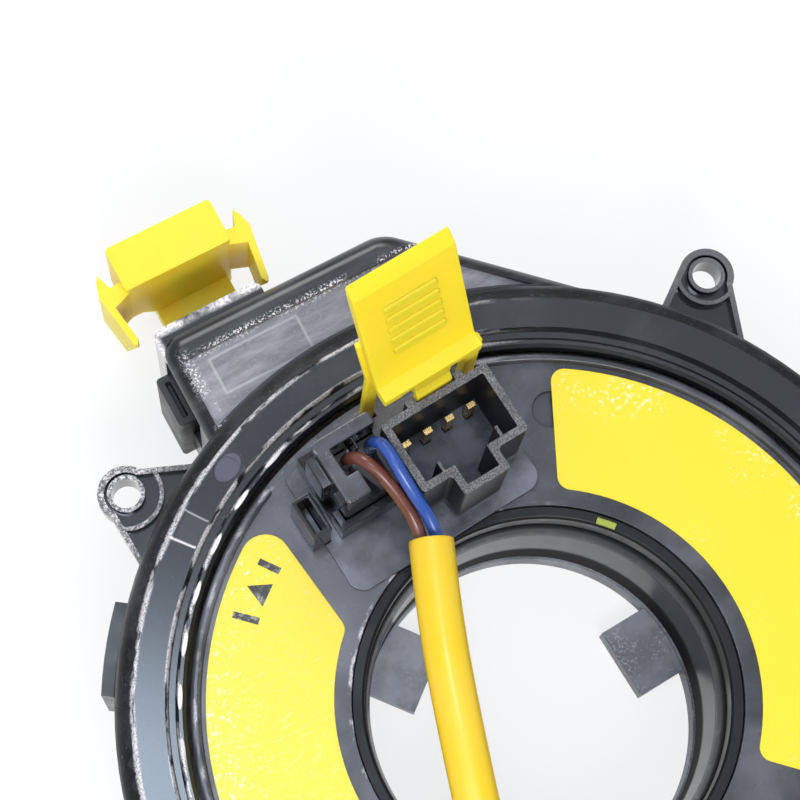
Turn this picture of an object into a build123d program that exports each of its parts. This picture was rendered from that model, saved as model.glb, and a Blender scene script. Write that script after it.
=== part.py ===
"""Steering clock spring: a rotor with its connectors, turning in a case with a flat cable inside.

Frame: millimetres, +Z up along the rotor's axis, +Y towards the harness bay of the case.
The origin lies on the axis, in the plane of the rear face. Pieces of the case are written
in this frame. Pieces of the rotor are written with their connectors towards +Y, and
turned by REST_TURN to the place where the rotor stands.
"""
import os
from math import atan2, cos, degrees, hypot, pi, radians, sin, sqrt, tan

from build123d import *

os.makedirs("parts", exist_ok=True)

# ---- heights above the rear face ----
COVER_TOP = 26.0  # flat top of the upper case
DISC_DROP = 2.0  # rotor disc below the cover's top
DISC_THICK = 2.0
PLATE_THICK = 1.8  # lower case plate
CANCEL_THICK = 4.0  # cancel ring, from the rear face up
RUN_GAP_Z = 0.6  # end play between cancel ring and lower plate
BAY_DROP = 3.0  # bay's top below the cover's top
EAR_DROP = 9.0  # ear's top below the cover's top
EAR_TALL = 4.0  # length of the ear's tube
EAR_PLATE = 2.5  # thickness of the plate round the tube

# ---- round case and rotor: each radius follows from the one outside it ----
CASE_R = 49.3
CASE_WALL = 1.8
COVER_THICK = 2.2
SHOULDER_WIDE = 2.3  # rounded outer edge of the cover
FLAT_WIDE = 3.5  # flat annulus on the cover
LIP_WIDE = 2.3  # groove and bead from the annulus to the central opening
DISC_GAP = 0.5  # rotor rim to the opening
RIM_WIDTH = 1.1
RIM_RISE = 0.8
RIM_GAP_ANGLES = (70.0, 111.0)  # the raised rim is left out behind the connectors
DISC_SPAN = 17.1  # inside of the rim to inside of the hub wall
HUB_WALL = 1.8
HUB_PLAY = 0.3  # hub wall to the journal of the hub sleeve
JOURNAL_GAP = 0.06  # running clearance in the lower case
SLEEVE_WALL = 2.0
BEZEL_WIDE = 1.4
BEZEL_GAP = 0.1
BEZEL_TALL = 3.1
BEZEL_DROP = 0.4  # bezel's top below the disc
CANCEL_STEP = 0.2  # cancel ring's bore inside the sleeve's
CANCEL_WIDE = 6.5
LUG_REACH = 6.6  # cancel lugs, inward from the ring's bore
LUG_WIDTH = 9.0
LUG_THICK = 3.0
LUG_ANGLES = (-1.0, 125.0, 242.0)

# ---- the rotor's rest place ----
REST_TURN = 4.0

# ---- harness bay of the case ----
BAY_LEFT = -20.2
BAY_REACH = 9.3  # bay's far wall beyond the round case
BAY_CORNER_R = 2.6
BAY_ROUND = 2.2  # far top edge of the bay
BAY_CHAMFER = 1.1  # left top edge
COLLAR_PROUD = 1.6  # collar round the airbag header's neck, beyond the bay's far wall
COLLAR_DROP = 1.5  # its top below the bay's
COLLAR_ROUND = 1.1
BAY_TURN_R = 5.0  # where the outer wall starts to fall back
BAY_FLOOR_LOW = 0.6
BAY_WALL = 1.8
BAY_TANGENT_ANGLE = 46.4  # where the right wall meets the round case
PANEL_DEEP = 0.8  # recessed panel in the bay's top
PANEL_RIM = 1.6
PANEL_FAR_RIM = 3.6
SIDE_SHORT = 2.3  # window in the bay's left wall, short of the far wall's outside
SIDE_TALL = 12.2

# ---- ears, one value for each ----
EAR_ANGLES = (124.7, 39.9, 262.0)
EAR_START_ANGLES = (115.0, 29.0, 253.0)  # where the ear leaves the case
EAR_STOP_ANGLES = (134.0, 44.5, 271.0)
EAR_REACHES = (5.7, 7.7, 6.7)  # centre of the hole beyond the round case
EAR_HOLE_R = 1.75
EAR_TUBE_R = 2.25
EAR_BOSS_R = 3.4
EAR_RIM = 0.8
EAR_FLOOR = 1.2  # depth of the recessed floor round the tube
EAR_RIB_RS = (4.5, 3.8, 4.1)  # the arc rib, measured from the hole
EAR_RIB = 0.5

# ---- shallow marks in the cover's flat annulus ----
POCKET_ANGLES = (124.4, 129.1)
POCKET_EDGE = 0.4  # annulus left on each side of the pocket
POCKET_DEEP = 0.3
EJECTOR_ANGLE = 116.6
EJECTOR_R = 1.5
EJECTOR_DEEP = 0.15

# ---- snap tongues of the lower case ----
TONGUE_ANGLES = (144.6, 200.0, 232.0, 296.0, 330.0, 8.0)
TONGUE_WIDTH = 11.0
TONGUE_THICK = 1.5
TONGUE_DROP = 7.0  # tongue's end below the cover's top
TONGUE_GAP = 0.35
WINDOW_WIDTH = 5.6
WINDOW_TALL = 4.0
WINDOW_RIM = 2.6  # tongue left above the window
LUG_PLAY = 0.3

# ---- yellow airbag header on the bay ----
HEADER_INSET = 0.1  # header's left side from the bay's
HEADER_WIDE = 14.2
HEADER_STAND = 8.6  # shell's back beyond the bay's far wall
HEADER_LONG = 5.9
HEADER_DROP = 5.0  # shell's top below the bay's
HEADER_TALL = 11.6
HEADER_WALL = 1.2
HEADER_DEPTH = 4.1
CHIN_DEEP = 4.8  # narrower lower part of the header's back
CHIN_INSET = 3.5  # its left side from the shell's
CHIN_SLOPE = (1.8, 2.4)  # sloping corner between shell and chin, across and down
NECK_LEFT_INSET, NECK_RIGHT_INSET = 3.5, 0.7
NECK_TALL = 2.6
LEVER_DROP = 1.5  # levers' top below the shell's
# a lever in plan: out from the header's side, and forward from its back
LEVER = [(2.15, 3.8), (2.65, 2.9), (3.15, 1.2), (2.65, -1.9), (2.05, -5.9), (1.65, -6.3), (1.25, -5.6),
         (1.75, -2.0), (1.9, -0.8), (-0.6, 0.1), (-0.6, 1.9), (1.4, 1.7)]
# cut off its lower near corner: forward from the header's back, and above the shell's foot
LEVER_CUT = [(-8.0, 9.0), (-6.2, 9.0), (-3.6, 0.0), (-3.6, -1.0), (-8.0, -1.0)]
PIN = 0.64
HEADER_PIN_PITCH = 2.5

# ---- body connector under the bay ----
BODY_OVERHANG = 1.6  # left end beyond the bay's left wall
BODY_WIDE = 30.2
BODY_STAND = 0.6  # near side beyond the round case
BODY_SHORT = 0.3  # far side from the inside of the bay's far wall
BODY_DROP = 8.0  # connector's top below the bay's
BODY_WALL = 0.9
BODY_DEPTH = 9.5
BODY_PINS = 9
BODY_PIN_EDGE = 3.3  # outer pins from the connector's ends
BODY_PIN_LONG = 4.5

# ---- connector group on the rotor ----
PLUG_LEFT = -9.4
PLUG_WIDE, PLUG_LONG = 7.5, 8.0
PLUG_WALL = 1.6
PLUG_FRONT_WALL = 2.8
PLUG_FRONT_WIDE = 3.1  # where the front wall stops beside the wires
PLUG_CAVITY = 5.0
DIVIDER_IN = 4.4  # divider's middle from the plug's left side
DIVIDER_THICK = 0.4
DIVIDER_LONG = 1.5
GROUP_TALL = 14.0
GROUP_GAP = 0.25  # plug to socket
SOCKET_WIDE, SOCKET_LONG = 13.95, 9.05
SOCKET_WALL = 0.95
SOCKET_FLOOR = 1.5
BUMP_LEFT_INSET, BUMP_RIGHT_INSET = 3.75, 4.15
BUMP_PROUD = 2.65
KEY_RIB = 0.4
KEY_RIB_LONG = 1.3
KEY_RIB_LEFT, KEY_RIB_RIGHT = 0.45, 1.1  # beside the bump
BACK_RIB_LEFT_INSET, BACK_RIB_RIGHT_INSET = 4.25, 3.4
BACK_RIB_WIDE, BACK_RIB_PROUD = 1.1, 0.75
SOCKET_PINS = 4
PIN_EDGE = 2.6  # outer pins from the socket's sides
PIN_BACK = 2.15  # pins from the socket's back
PIN_WIDTH = 1.0
PIN_TALL = 6.3
BASE_THICK = 0.7
BASE_LONG = 17.0
BASE_CORNER_R = 2.0
BASE_RIM_GAP = 1.2  # base's far edge to the disc's rim
BASE_LEFT_OUT, BASE_RIGHT_OUT = 2.9, 1.0  # base beyond the plug and the socket
SOCKET_BACK = 3.75  # socket's back from the base's far edge
PLUG_BACK = 1.5
TRAY_WALL = 0.9
TRAY_FLOOR = 0.9
TRAY_TALL = 5.0
KEY_BAR = 1.2
KEEPER_OUT = 1.6  # keeper's left side beyond the base
KEEPER_WIDE, KEEPER_LONG, KEEPER_TALL = 2.4, 5.0, 8.0
KEEPER_BACK = 3.4  # keeper's far side from the plug's
KEEPER_WALL = 0.5
SEAT = 0.05  # push-in clearance between moulded pieces

# ---- lock tab: its side outline runs beyond the legs and above the socket ----
TAB_LEFT_INSET, TAB_RIGHT_INSET = 1.05, 0.2  # tab's sides from the socket's
TAB_THICK = 1.5
TAB_FOOT = (-0.6, 0.4)
TAB_LIP = (-0.6, 5.0)
TAB_FOLD = (1.1, 5.0)
TAB_BROW = (7.1, 20.6)
TAB_TIP = (8.8, 22.0)
TAB_FOOT_THICK = 1.8
NOTCH_HALF = 0.8  # notches in the foot over the socket's back ribs
NOTCH_RISE = 3.0
SHORT_RISE = 2.6  # foot's short ends above its middle
TAB_LEG_STAND = 0.7  # right leg behind the socket's back ribs
TAB_LEG_WIDTH = 1.8
TAB_LEG_THICK = 1.2
TAB_LEG_TALL = 4.0  # right leg's top above the socket
STRAP_STAND = 0.1  # left leg behind the base
STRAP_THICK = 0.75
STRAP_TALL = 5.0  # straight part of the left leg, above the socket
STRAP_REACH = (2.5, 6.0)  # its leaning top, beyond the straight part
TAB_LEG_DEEP = 1.2  # into the rotor disc
TAB_LEG_OUT = 0.5  # legs stand this far outside the plate
TAB_LEG_GAP = 0.3
RIB_COUNT = 5
RIB_PITCH = 1.9
RIB_LONG = 6.6
RIB_FIRST_SHARE = 0.30  # share of the way up the plate
RIB_PROUD = 0.3
RIB_TALL = 0.8
RIB_ROUND = 0.35

# ---- labels ----
LABEL_THICK = 0.15
LABEL_HUB_GAP = 2.0
LABEL_RIM_GAP = 0.6
RIGHT_LABEL_ANGLE = -48.0  # end away from the connectors
LEFT_LABEL_ANGLE = 235.0
LABEL_CLEAR_ANGLE = 3.9  # right label to the base's corner
LABEL_LEAN_ANGLE = 2.3  # its end leans towards the connectors
LABEL_FAR_GAP, LABEL_NEAR_GAP = 4.2, 3.1  # left label to the base, along its slanting edge
LABEL_CORNER_R = 1.6
LABEL_WIDE_CORNER_R = 2.9  # left label's corner beside the connectors

# ---- flat cable and its end blocks ----
CABLE_THICK = 0.3
CABLE_EDGE_GAP = 2.0  # cable's edges to the disc and to the plate
CABLE_PITCH = 2.6
CABLE_TURNS = 6
CABLE_STAND = 1.1  # first turn to the rotor's terminal block
BLOCK_WIDE = 10.0
BLOCK_DEEP = 3.0
SLIP_THICK = 0.3

# ---- lead: two wires in a sleeve, running from the plug to the squib connector ----
WIRE_D = 1.5
LEAD_D, LEAD_BORE_D = 5.1, 4.1
WIRE_OFFSET = 0.88  # each wire beside the lead's middle line
WIRE_EXPOSED = 1.2  # straight wire in front of the sleeve's mouth
WIRE_TAIL = 3.6  # straight wire from the sleeve's end into the squib connector
WIRE_SEATED = 1.6  # the part of it inside the connector
ARC_SHARE = 0.45
LEAD_STAND = 1.75  # sleeve's mouth in front of the socket's bump
LEAD_PLUG_IN = 1.3  # sleeve's middle line inside the plug's right side
LEAD_RIM_GAP = 8.6  # sleeve's end to the rim, across the disc
LEAD_SIDE_SHARES = (0.0, -0.0644, -0.1566, -0.2449, -0.3106, -0.303, -0.2172, -0.0644, 0.1237, 0.2753)
LEAD_ACROSS_SHARES = (0.0, 0.0958, 0.2529, 0.4291, 0.5709, 0.728, 0.8659, 0.9674, 1.0115, 1.0)
LEAD_HEIGHT_SHARES = (0.6726, 0.6903, 0.6991, 0.646, 0.4956, 0.2212, 0.0531, 0.0, 0.0, 0.0)
BROWN_START = (2.95, -3.0)  # from the plug's left side and its back
BLUE_START = (6.25, -2.9)
BROWN_RISE = [(3.0, -3.1, -2.0), (4.1, -4.6, 0.6), (5.2, -8.0, 0.0)]  # the same, and above the plug
BLUE_RISE = [(6.3, -3.0, -1.7), (6.9, -4.7, 1.5), (6.7, -9.5, 0.3)]
SQUIB_LONG, SQUIB_WIDE, SQUIB_TALL = 10.4, 6.8, 5.2
SQUIB_CORNER_R = 0.9

# ---- small shapes shared by several pieces ----
SHOULDER_CURVE = [(0.0, 2.6), (0.4, 1.43), (1.1, 0.64), (2.0, 0.4)]  # case's outer edge, inward and down
STEP = 0.4
GROOVE_DEEP = 0.9
BEAD_DROP = 0.45
BEAD_FOOT, BEAD_CREST, BEAD_EDGE = 1.2, 0.8, 0.4  # out from the central opening
DISC_MARK_ANGLE = 56.3
DISC_MARK_R = 2.2
DISC_MARK_IN = 5.6  # centre of the recess inside the rim
INDEX_ANGLES = (35.4, 41.8)  # window in the bezel
INDEX_WIDE = 0.9
INDEX_SUNK = 0.2  # mark's face below the bezel's
EDGE_CUT = 0.3  # small slants on turned pieces
HALF_TURN_ANGLE = 180.0
SMALL_ROUND = 0.5

# ---- levels worked out from the sizes above ----
DISC_TOP = COVER_TOP - DISC_DROP
DISC_UNDER = DISC_TOP - DISC_THICK
PLATE_LOW = CANCEL_THICK + RUN_GAP_Z
PLATE_TOP = PLATE_LOW + PLATE_THICK
COLLAR_TOP = PLATE_TOP + PLATE_THICK
HUB_FOOT = COLLAR_TOP + RUN_GAP_Z
BAY_TOP = COVER_TOP - BAY_DROP
BAY_FLOOR_TOP = BAY_FLOOR_LOW + PLATE_THICK
EAR_TOP = COVER_TOP - EAR_DROP
TONGUE_TOP = COVER_TOP - TONGUE_DROP
WINDOW_TOP = TONGUE_TOP - WINDOW_RIM
BASE_TOP = DISC_TOP + BASE_THICK
BEZEL_TOP = DISC_TOP - BEZEL_DROP
SLEEVE_TOP = BEZEL_TOP - BEZEL_TALL
CABLE_LOW = PLATE_TOP + CABLE_EDGE_GAP
CABLE_TALL = DISC_UNDER - CABLE_EDGE_GAP - CABLE_LOW
TRAY_TOP = BASE_TOP + TRAY_FLOOR
GROUP_TOP = DISC_TOP + GROUP_TALL
BLOCK_LOW, BLOCK_TOP = CABLE_LOW + SMALL_ROUND, DISC_UNDER - SMALL_ROUND
HEADER_TOP = BAY_TOP - HEADER_DROP
HEADER_LOW = HEADER_TOP - HEADER_TALL
CHIN_LOW = HEADER_LOW - CHIN_DEEP
NECK_TOP = CHIN_LOW + NECK_TALL
BODY_TOP = BAY_TOP - BODY_DROP
SIDE_LOW = BAY_TOP - BAY_WALL - SIDE_TALL

# ---- radii worked out from the sizes above ----
CHAMBER_R = CASE_R - CASE_WALL
FLAT_OUTER_R = CASE_R - SHOULDER_WIDE
FLAT_INNER_R = FLAT_OUTER_R - FLAT_WIDE
LIP_R = FLAT_INNER_R - LIP_WIDE
DISC_R = LIP_R - DISC_GAP
RIM_R = DISC_R - RIM_WIDTH
HUB_R = RIM_R - DISC_SPAN
SLEEVE_R = HUB_R - HUB_PLAY
SLEEVE_BORE_R = SLEEVE_R - SLEEVE_WALL
BEZEL_R = HUB_R - BEZEL_GAP
BEZEL_BORE_R = BEZEL_R - BEZEL_WIDE
CANCEL_BORE_R = SLEEVE_BORE_R - CANCEL_STEP
CANCEL_R = CANCEL_BORE_R + CANCEL_WIDE
CABLE_START_R = HUB_R + HUB_WALL + BLOCK_DEEP + CABLE_STAND

# ---- places in plan worked out from the sizes above ----
BAY_OUT = CASE_R + BAY_REACH
HEADER_LEFT = BAY_LEFT + HEADER_INSET
HEADER_RIGHT = HEADER_LEFT + HEADER_WIDE
HEADER_NEAR = BAY_OUT + HEADER_STAND
HEADER_FAR = HEADER_NEAR + HEADER_LONG
NECK_LEFT, NECK_RIGHT = HEADER_LEFT + NECK_LEFT_INSET, HEADER_RIGHT - NECK_RIGHT_INSET
BODY_LEFT = BAY_LEFT - BODY_OVERHANG
BODY_RIGHT = BODY_LEFT + BODY_WIDE
BODY_NEAR, BODY_FAR = CASE_R + BODY_STAND, BAY_OUT - BAY_WALL - BODY_SHORT
PLUG_RIGHT = PLUG_LEFT + PLUG_WIDE
SOCKET_LEFT = PLUG_RIGHT + GROUP_GAP
SOCKET_RIGHT = SOCKET_LEFT + SOCKET_WIDE
BASE_LEFT, BASE_RIGHT = PLUG_LEFT - BASE_LEFT_OUT, SOCKET_RIGHT + BASE_RIGHT_OUT
BASE_FAR = RIM_R - BASE_RIM_GAP
BASE_NEAR = BASE_FAR - BASE_LONG
SOCKET_FAR = BASE_FAR - SOCKET_BACK
SOCKET_NEAR = SOCKET_FAR - SOCKET_LONG
BUMP_LEFT, BUMP_RIGHT = SOCKET_LEFT + BUMP_LEFT_INSET, SOCKET_RIGHT - BUMP_RIGHT_INSET
BUMP_NEAR = SOCKET_NEAR - BUMP_PROUD
PIN_Y = SOCKET_FAR - PIN_BACK
PLUG_FAR = BASE_FAR - PLUG_BACK
PLUG_NEAR = PLUG_FAR - PLUG_LONG
KEEPER_LEFT = BASE_LEFT - KEEPER_OUT
KEEPER_RIGHT = KEEPER_LEFT + KEEPER_WIDE
KEEPER_FAR = PLUG_FAR - KEEPER_BACK
KEEPER_NEAR = KEEPER_FAR - KEEPER_LONG
BACK_RIB_XS = (SOCKET_LEFT + BACK_RIB_LEFT_INSET, SOCKET_RIGHT - BACK_RIB_RIGHT_INSET)
TAB_LEFT, TAB_RIGHT = SOCKET_LEFT + TAB_LEFT_INSET, SOCKET_RIGHT - TAB_RIGHT_INSET
TAB_LEG_NEAR = SOCKET_FAR + BACK_RIB_PROUD + TAB_LEG_STAND
LABEL_INNER_R, LABEL_OUTER_R = HUB_R + LABEL_HUB_GAP, RIM_R - LABEL_RIM_GAP
LEAD_START_X = PLUG_RIGHT - LEAD_PLUG_IN
LEAD_START_Y, LEAD_END_Y = BUMP_NEAR - LEAD_STAND, LEAD_RIM_GAP - RIM_R
LEAD_LOW = DISC_TOP + LABEL_THICK + LEAD_D / 2
LEAD_ROUTE = [
    (LEAD_START_X + side * RIM_R, LEAD_START_Y + across * (LEAD_END_Y - LEAD_START_Y),
     LEAD_LOW + height * (GROUP_TOP - LEAD_LOW))
    for side, across, height in zip(LEAD_SIDE_SHARES, LEAD_ACROSS_SHARES, LEAD_HEIGHT_SHARES)
]

parts = {}


# ---------------------------------------------------------------- tools
def save(name, shape, turned=False):
    """Keep a finished piece. Rotor pieces are turned to where the rotor stands."""
    placed = Rot(0, 0, REST_TURN) * shape if turned else shape
    solids = placed.solids()
    parts[name] = solids[0] if len(solids) == 1 else Compound(children=solids)


def polar(radius, angle, z=0.0):
    return (radius * cos(radians(angle)), radius * sin(radians(angle)), z)


def block(x0, x1, y0, y1, z0, z1):
    """A box between two corners."""
    return Pos((x0 + x1) / 2, (y0 + y1) / 2, (z0 + z1) / 2) * Box(x1 - x0, y1 - y0, z1 - z0)


def disc(radius, z0, z1):
    return Pos(0, 0, (z0 + z1) / 2) * Cylinder(radius, z1 - z0)


def turned_profile(points):
    """A full revolve of an (r, z) outline."""
    outline = Polyline(*[(r, 0, z) for r, z in points], close=True)
    return revolve(make_face(outline), Axis.Z, 360)


def flat(points, z=0.0):
    return make_face(Polyline(*[(x, y, z) for x, y in points], close=True))


def raised(face, height):
    return extrude(face, height, dir=(0, 0, 1))


def round_upright(shape, radius):
    """Round every upright edge of a plain prism."""
    return fillet(shape.edges().filter_by(Axis.Z), radius)


def sector(inner, outer, start, stop, z0, z1, lean=0.0):
    """A piece of a flat ring between two angles. Its stop end may lean outwards."""
    arcs = [CenterArc((0, 0, z0), outer, start, stop + lean - start),
            CenterArc((0, 0, z0), inner, start, stop - start)]
    ends = [Line(polar(inner, start, z0), polar(outer, start, z0)),
            Line(polar(inner, stop, z0), polar(outer, stop + lean, z0))]
    return raised(make_face(arcs + ends), z1 - z0)


# ---------------------------------------------------------------- case
def bay_prism(z0, z1, inset=0.0):
    """The harness bay in plan, from inside the round case out to its far wall."""
    side = radians(BAY_TANGENT_ANGLE)
    far = BAY_OUT - inset
    reach = CASE_R - inset
    corner = ((reach - far * sin(side)) / cos(side), far)
    near = CHAMBER_R - CASE_WALL
    face = flat([
        (BAY_LEFT + inset, near * sin(side)), (BAY_LEFT + inset, far), corner,
        polar(reach, BAY_TANGENT_ANGLE)[:2], polar(near, BAY_TANGENT_ANGLE)[:2],
    ], z0)
    if not inset:
        far_left = face.vertices().sort_by_distance((BAY_LEFT, far, z0))[0]
        far_right = face.vertices().sort_by_distance((*corner, z0))[0]
        face = fillet(fillet(far_right, BAY_TURN_R).vertices().sort_by_distance(far_left)[0], BAY_CORNER_R)
    return raised(face, z1 - z0)


def body_connector_hole(z0, z1, play=0.0):
    return block(BODY_LEFT - play, BODY_RIGHT + play, BODY_NEAR - play, BODY_FAR + play, z0, z1)


def bay_shell():
    """The bay with its far top edge rounded, its left top edge cut at a slant, and the neck's collar."""
    bay = bay_prism(BAY_FLOOR_TOP, BAY_TOP)
    rim = bay.faces().sort_by(Axis.Z)[-1].edges()
    bay = fillet(rim.filter_by(lambda e: e.center().Y > CASE_R and e.center().X > BAY_LEFT + SEAT), BAY_ROUND)
    edge = Pos(BAY_LEFT, BAY_OUT / 2, BAY_TOP) * Rot(0, 45, 0)
    bay -= edge * Box(BAY_CHAMFER * sqrt(2), 2 * BAY_OUT, BAY_CHAMFER * sqrt(2))
    collar = block(HEADER_LEFT, HEADER_RIGHT, BAY_OUT - BAY_WALL, BAY_OUT + COLLAR_PROUD, BAY_FLOOR_TOP,
                   BAY_TOP - COLLAR_DROP)
    outer = collar.edges().filter_by(Axis.Z).sort_by(Axis.Y)[-2:]
    return bay + fillet(outer, COLLAR_ROUND)


def neck_hole(play):
    return block(NECK_LEFT - play, NECK_RIGHT + play, BAY_OUT - 2 * BAY_WALL, BAY_OUT + 2 * COLLAR_PROUD,
                 CHIN_LOW - play, NECK_TOP + play)


def block_window(play):
    """Where the stator's terminal block passes through the round wall into the bay."""
    half = BLOCK_WIDE / 2 + play
    return block(-half, half, CHAMBER_R - 2 * CASE_WALL, CASE_R + 1, BLOCK_LOW - play, BLOCK_TOP + play)


def ear_outline(x, y, start, stop, inset, low, tall):
    """A round end joined to the case, drawn in by an inset and raised."""
    turn = atan2(y, x)
    radius = EAR_BOSS_R - inset
    foot = CHAMBER_R + CASE_WALL / 2
    lean = degrees(inset / CASE_R)
    ends = [(x - sin(turn) * radius * s, y + cos(turn) * radius * s) for s in (1, -1)]
    web = flat([*ends, polar(foot, start + lean)[:2], polar(foot, stop - lean)[:2]], low)
    return raised(web, tall) + Pos(x, y, low + tall / 2) * Cylinder(radius, tall)


def ear(angle, reach, start, stop, rib_r):
    """A fixing ear: a thin rimmed plate with an arc rib, and a tube for the screw."""
    x, y, _ = polar(CASE_R + reach, angle)
    plate = ear_outline(x, y, start, stop, 0, EAR_TOP - EAR_PLATE, EAR_PLATE)
    well = ear_outline(x, y, start, stop, EAR_RIM, EAR_TOP - EAR_FLOOR, EAR_FLOOR)
    ring = Cylinder(rib_r, EAR_FLOOR) - Cylinder(rib_r - EAR_RIB, EAR_FLOOR)
    well -= Pos(x, y, EAR_TOP - EAR_FLOOR / 2) * ring
    tube = Pos(x, y, EAR_TOP - EAR_TALL / 2) * Cylinder(EAR_TUBE_R, EAR_TALL)
    hole = Pos(x, y, EAR_TOP - EAR_TALL / 2) * Cylinder(EAR_HOLE_R, EAR_TALL + 1)
    return plate - well + tube - disc(CHAMBER_R + CASE_WALL / 3, 0, COVER_TOP), hole


def tongue_lug(angle):
    """The ramp on the case's wall that a snap tongue catches on."""
    out = CASE_R + TONGUE_GAP + TONGUE_THICK
    top = WINDOW_TOP - LUG_PLAY
    low = WINDOW_TOP - WINDOW_TALL + LUG_PLAY
    root = CASE_R - CASE_WALL / 2
    half = WINDOW_WIDTH / 2 - LUG_PLAY
    ramp = Polyline((root, -half, low), (root, -half, top), (out, -half, top),
                    (CASE_R + TONGUE_GAP, -half, low), close=True)
    return Rot(0, 0, angle) * extrude(make_face(ramp), 2 * half, dir=(0, 1, 0))


def upper_case():
    top = COVER_TOP
    wall = turned_profile([
        (CHAMBER_R, PLATE_TOP), (CASE_R, PLATE_TOP),
        *[(CASE_R - inward, top - down) for inward, down in SHOULDER_CURVE],
        (FLAT_OUTER_R, top), (FLAT_INNER_R, top), (FLAT_INNER_R - STEP, top - GROOVE_DEEP),
        (LIP_R + BEAD_FOOT, top - GROOVE_DEEP), (LIP_R + BEAD_CREST, top - BEAD_DROP),
        (LIP_R + BEAD_EDGE, top - BEAD_DROP), (LIP_R, top - GROOVE_DEEP), (LIP_R, top - COVER_THICK),
        (CHAMBER_R, top - COVER_THICK),
    ])
    bay = bay_shell()
    bay -= disc(CHAMBER_R + CASE_WALL / 3, PLATE_TOP, top) + disc(CASE_R + SEAT, 0, PLATE_TOP)
    hollow = bay_prism(BAY_FLOOR_TOP, BAY_TOP - BAY_WALL, BAY_WALL) - disc(CASE_R, 0, top)
    panel = bay_prism(BAY_TOP - PANEL_DEEP, BAY_TOP, PANEL_RIM) - disc(CASE_R + STEP, 0, top)
    panel -= block(BAY_LEFT, CASE_R, BAY_OUT - PANEL_FAR_RIM, BAY_OUT, 0, top)
    case = wall + (bay - hollow - panel)
    for place in zip(EAR_ANGLES, EAR_REACHES, EAR_START_ANGLES, EAR_STOP_ANGLES, EAR_RIB_RS):
        body, hole = ear(*place)
        case = case + body - hole
    for angle in TONGUE_ANGLES:
        case += tongue_lug(angle)
    case -= body_connector_hole(0, BODY_TOP + SEAT, SEAT)
    case -= block(BAY_LEFT - 1, BAY_LEFT + 2 * BAY_WALL, CHAMBER_R, BAY_OUT - SIDE_SHORT, SIDE_LOW,
                  SIDE_LOW + SIDE_TALL)
    case -= sector(FLAT_INNER_R + POCKET_EDGE, FLAT_OUTER_R - POCKET_EDGE, *POCKET_ANGLES,
                   top - POCKET_DEEP, top + 1)
    case -= Pos(*polar((FLAT_INNER_R + FLAT_OUTER_R) / 2, EJECTOR_ANGLE, top)) * Cylinder(
        EJECTOR_R, 2 * EJECTOR_DEEP)
    case -= neck_hole(SEAT)
    return case - block_window(SEAT)


def lower_case():
    plate = turned_profile([
        (SLEEVE_R + JOURNAL_GAP, PLATE_LOW), (CASE_R, PLATE_LOW), (CASE_R, PLATE_TOP),
        (HUB_R + HUB_WALL, PLATE_TOP), (HUB_R + HUB_WALL, COLLAR_TOP), (SLEEVE_R + JOURNAL_GAP, COLLAR_TOP),
    ])
    bay_floor = bay_prism(BAY_FLOOR_LOW, BAY_FLOOR_TOP) - disc(CHAMBER_R, 0, PLATE_LOW)
    step = bay_prism(BAY_FLOOR_LOW, PLATE_TOP) & (disc(CASE_R, 0, PLATE_TOP) - disc(CHAMBER_R, 0, PLATE_TOP))
    case = plate + bay_floor + step
    half = TONGUE_WIDTH / 2
    inner, outer = CASE_R + TONGUE_GAP, CASE_R + TONGUE_GAP + TONGUE_THICK
    shell = disc(outer, PLATE_LOW, TONGUE_TOP) - disc(inner, PLATE_TOP, TONGUE_TOP)
    shell -= disc(CASE_R - CASE_WALL, PLATE_LOW, PLATE_TOP)
    for angle in TONGUE_ANGLES:
        tongue = shell & (Rot(0, 0, angle) * block(0, outer + 1, -half, half, 0, TONGUE_TOP))
        window = block(inner - 1, outer + 1, -WINDOW_WIDTH / 2, WINDOW_WIDTH / 2,
                       WINDOW_TOP - WINDOW_TALL, WINDOW_TOP)
        case += tongue - Rot(0, 0, angle) * window
    return case - body_connector_hole(0, PLATE_TOP, SEAT) - neck_hole(SEAT)


def header_pins(play=0.0):
    """Two pins that step up from the neck into the middle of the shell."""
    half = PIN / 2 + play
    middle = (NECK_LEFT + NECK_RIGHT) / 2
    low, high = (CHIN_LOW + NECK_TOP) / 2, (HEADER_LOW + HEADER_TOP) / 2
    knee = HEADER_NEAR + (HEADER_FAR - HEADER_DEPTH - HEADER_NEAR) / 2
    pins = []
    for x in (middle - HEADER_PIN_PITCH / 2, middle + HEADER_PIN_PITCH / 2):
        x0, x1 = x - half, x + half
        pin = block(x0, x1, BAY_OUT - BAY_WALL, knee + half, low - half, low + half)
        pin += block(x0, x1, knee - half, knee + half, low - half, high + half)
        pin += block(x0, x1, knee - half, HEADER_FAR - HEADER_WALL, high - half, high + half)
        pins.append(pin)
    return pins


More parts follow.
